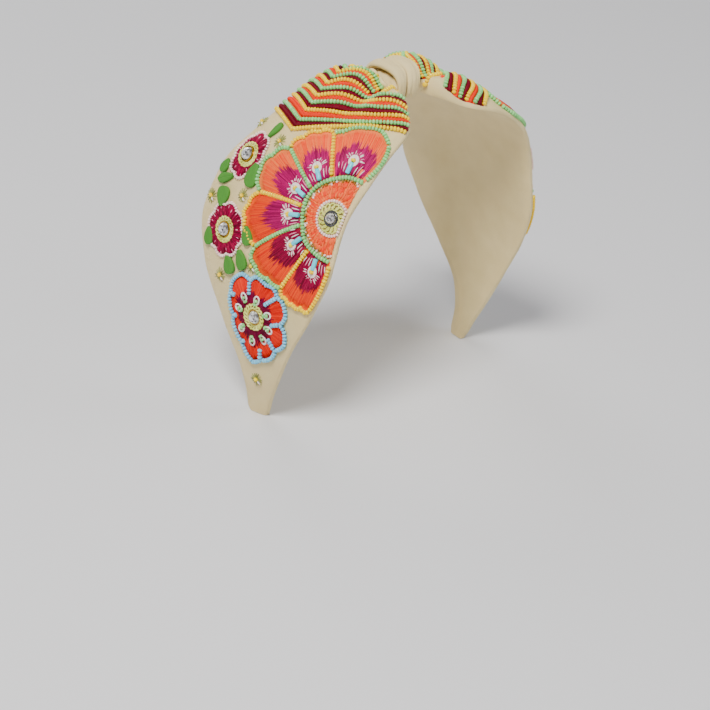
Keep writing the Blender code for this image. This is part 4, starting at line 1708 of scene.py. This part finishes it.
# %% Leaves
LEAF_LENGTH = 10.0
LEAF_WIDTH = 7.2
LEAF_THICKNESS = 0.9
LEAF_CROWN = 0.45
GROOVE_DEPTH = 0.16
GROOVE_WIDTH = 0.05
LEAF_BASE = 0.26
LEAF_SHOULDER = 0.64
LEAF_FULLNESS = 0.85
LEAF_TIP = 2.3
WELD_LEAF = 0.00002
LEAVES = (
    (0.292, 0.462, 205, 0.78, 0.46),
    (0.420, 0.880, 18, 0.66, 0.66),
    (0.445, 0.800, 62, 0.92, 0.62),
    (0.489, 0.754, 171, 0.84, 1.00),
    (0.410, 0.465, 2, 1.02, 1.00),
    (0.596, 0.800, 351, 0.76, 0.78),
    (0.547, 0.299, 332, 0.80, 0.80),
    (0.636, 0.448, 332, 0.78, 0.88),
    (0.609, 0.304, 328, 0.85, 0.80),
)


def leaf_swell(place):
    """Width share of a leaf from its narrow base, 0, over its shoulder to its tip, 1."""
    rising = np.sin(math.pi / 2 * np.minimum(place / LEAF_SHOULDER, 1.0)) ** LEAF_FULLNESS
    past = np.maximum(place - LEAF_SHOULDER, 0.0) / (1.0 - LEAF_SHOULDER)
    bulge = rising * np.clip(1.0 - past**LEAF_TIP, 0.0, 1.0) ** (1 / LEAF_TIP)
    base = LEAF_BASE * (1.0 - place)
    return base + (1.0 - base) * bulge


def leaf_height(sideways, ahead):
    """Crowned face with a thin groove along its middle."""
    crown = LEAF_CROWN * (1 - (2 * sideways - 1) ** 4)
    groove = GROOVE_DEPTH * np.exp(-(((sideways - 0.5) / GROOVE_WIDTH) ** 2))
    return SEAT_GAP + LEAF_THICKNESS + crown - groove


def add_leaf(word, side, number, along, across, heading, long, broad):
    """A leaf of cloth, its face laid as a patch and its underside extruded."""
    centre = (along * HALF_LENGTH, width_at(across))
    angle = math.radians(heading)

    def chart(sideways, ahead):
        place = np.sin(math.pi / 2 * ahead)
        forward = LEAF_LENGTH * long * (place - 0.5)
        aside = LEAF_WIDTH * broad * (sideways - 0.5) * leaf_swell(place)
        return np.stack([centre[0] + forward * math.cos(angle) - aside * math.sin(angle),
                         centre[1] + forward * math.sin(angle) + aside * math.cos(angle)], -1)

    name = f"leaf_{number}_cloth_{word}"
    face = patch_mesh(name, side, chart, leaf_height, 20, 28)
    shape = bmesh.new()
    shape.from_mesh(face)
    bpy.data.meshes.remove(face)
    bmesh.ops.remove_doubles(shape, verts=shape.verts, dist=WELD_LEAF)
    grown = bmesh.ops.extrude_face_region(shape, geom=shape.faces[:], use_keep_orig=True)
    under = [item for item in grown["geom"] if isinstance(item, bmesh.types.BMVert)]
    down = Vector(outward(side, *centre)) * -LEAF_THICKNESS * MM
    bmesh.ops.translate(shape, verts=under, vec=down)
    bmesh.ops.recalc_face_normals(shape, faces=shape.faces)
    piece = add_piece(name, finished(shape, name, sharp=50), LEAF_GREEN)
    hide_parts(f"leaf_{number}_{word}")


for word, side in SIDES:
    for number, row in enumerate(LEAVES, start=1):
        add_leaf(word, side, number, *row)
    print("leaves of the", word, "wing", len(LEAVES))

# %% Thread stars
STARS = ((53.9, 15.1), (87.2, 41.0), (80.6, 22.7), (116.7, 24.7), (105.8, 7.4), (48.4, 34.1),
         (155.0, -1.4))
STAR_RAYS = 14
STAR_HEART = 0.5
STAR_REACH = 3.3
STAR_TICK = (1.1, 2.8)
STAR_TICK_BEARING = 235.0
STAR_TICK_RADIUS = 0.42


def star_stitch(side, star, near, far, bearing, lift, rise=0.15):
    """Stitch along a bearing from a star's middle."""
    ends = (flower_place(reach, bearing, star) for reach in (near, far))
    return straight(side, *ends, lift, rise)


def add_stars(word, side):
    """Stars of thin rays with a yellow bead and a short white stitch."""
    draw = np.random.default_rng(71)
    rays, ticks = [], []
    for star in STARS:
        for part in uneven(draw, STAR_RAYS, -0.15, 0.15):
            far = STAR_REACH * draw.uniform(0.8, 1.1)
            rays.append(star_stitch(side, star, STAR_HEART, far, 360.0 * part, 0.25, 0.1))
        ticks.append(star_stitch(side, star, *STAR_TICK, STAR_TICK_BEARING, 0.6))
    add_stitches(f"star_rays_{word}", rays, TICK_RADIUS, "olive", 72)
    add_stitches(f"star_ticks_{word}", ticks, STAR_TICK_RADIUS, "white", 73)
    spots = set_on(side, STARS, np.full(len(STARS), 40.0), 0.7)
    add_beads(f"star_beads_{word}", "yellow", spots, 0.95, 74)


for word, side in SIDES:
    add_stars(word, side)

# %% [markdown]
# ## Floor, light and camera
# The headband stands on a plain pale floor in soft light from large lamps. The camera looks
# from the wearer's right and a little above, as in the photograph.

# %% Floor and lamps
FLOOR_COLOUR = (220, 220, 222)
FLOOR_SHADE = (217, 217, 219)
AIM = (0.0, 0.0, 0.07)
LAMPS = (
    ("key_lamp", (-0.7, -0.25, 1.2), 0.45, 24.0, (1.0, 0.98, 0.95)),
    ("fill_lamp", (0.9, -1.0, 0.7), 1.0, 6.0, (0.95, 0.97, 1.0)),
    ("back_lamp", (0.3, 1.2, 0.9), 0.9, 8.0, (1.0, 1.0, 1.0)),
)


def add_floor():
    """Large round floor of matt paper, just under the tips."""
    mesh = bpy.data.meshes.new("floor")
    shape = bmesh.new()
    bmesh.ops.create_circle(shape, cap_ends=True, segments=64, radius=6.0)
    bmesh.ops.translate(shape, verts=shape.verts, vec=(0.0, 0.0, -0.0002))
    shape.to_mesh(mesh)
    shape.free()
    mesh.materials.append(dyed_and_painted_reflection_material("pale_floor", FLOOR_COLOUR, FLOOR_SHADE, patches=0.5,
                                        each=0.0, patch_size=2.0, Roughness=0.9))
    floor = bpy.data.objects.new("floor", mesh)
    bpy.context.scene.collection.objects.link(floor)


def add_lamp(name, place, size, power, colour):
    """Round soft lamp turned to the headband."""
    data = bpy.data.lights.new(name, "AREA")
    data.shape = "DISK"
    data.size = size
    data.energy = power
    data.color = colour
    lamp = bpy.data.objects.new(name, data)
    lamp.location = place
    lamp.rotation_euler = (Vector(AIM) - Vector(place)).to_track_quat("-Z", "Y").to_euler()
    bpy.context.scene.collection.objects.link(lamp)


add_floor()
for row in LAMPS:
    add_lamp(*row)

world = bpy.data.worlds.new("soft_room")
bpy.context.scene.world = world
world.use_nodes = True
world.node_tree.nodes["Background"].inputs["Color"].default_value = linear(214, 214, 218)
world.node_tree.nodes["Background"].inputs["Strength"].default_value = 0.42
print("lamps", [row[0] for row in LAMPS])

# %% Camera
CAMERA_PLACE = (-0.71987, -0.66400, 0.50483)
CAMERA_TURN = math.radians(-47.222)
CAMERA_RISE = math.radians(26.965)
CAMERA_ROLL = math.radians(5.172)
CAMERA_LENS = 126.77
camera_data = bpy.data.cameras.new("camera")
camera_data.lens = CAMERA_LENS
camera_data.sensor_width = 36.0
camera_data.clip_start = 0.05
camera_data.clip_end = 30.0
camera = bpy.data.objects.new("camera", camera_data)
camera.matrix_world = (
    Matrix.Translation(CAMERA_PLACE)
    @ Matrix.Rotation(CAMERA_TURN, 4, "Z")
    @ Matrix.Rotation(math.pi / 2 - CAMERA_RISE, 4, "X")
    @ Matrix.Rotation(CAMERA_ROLL, 4, "Z")
)
bpy.context.scene.collection.objects.link(camera)
bpy.context.scene.camera = camera
print("camera at", CAMERA_PLACE)

# %% Finish
bpy.data.objects.remove(PLY_SECTION)
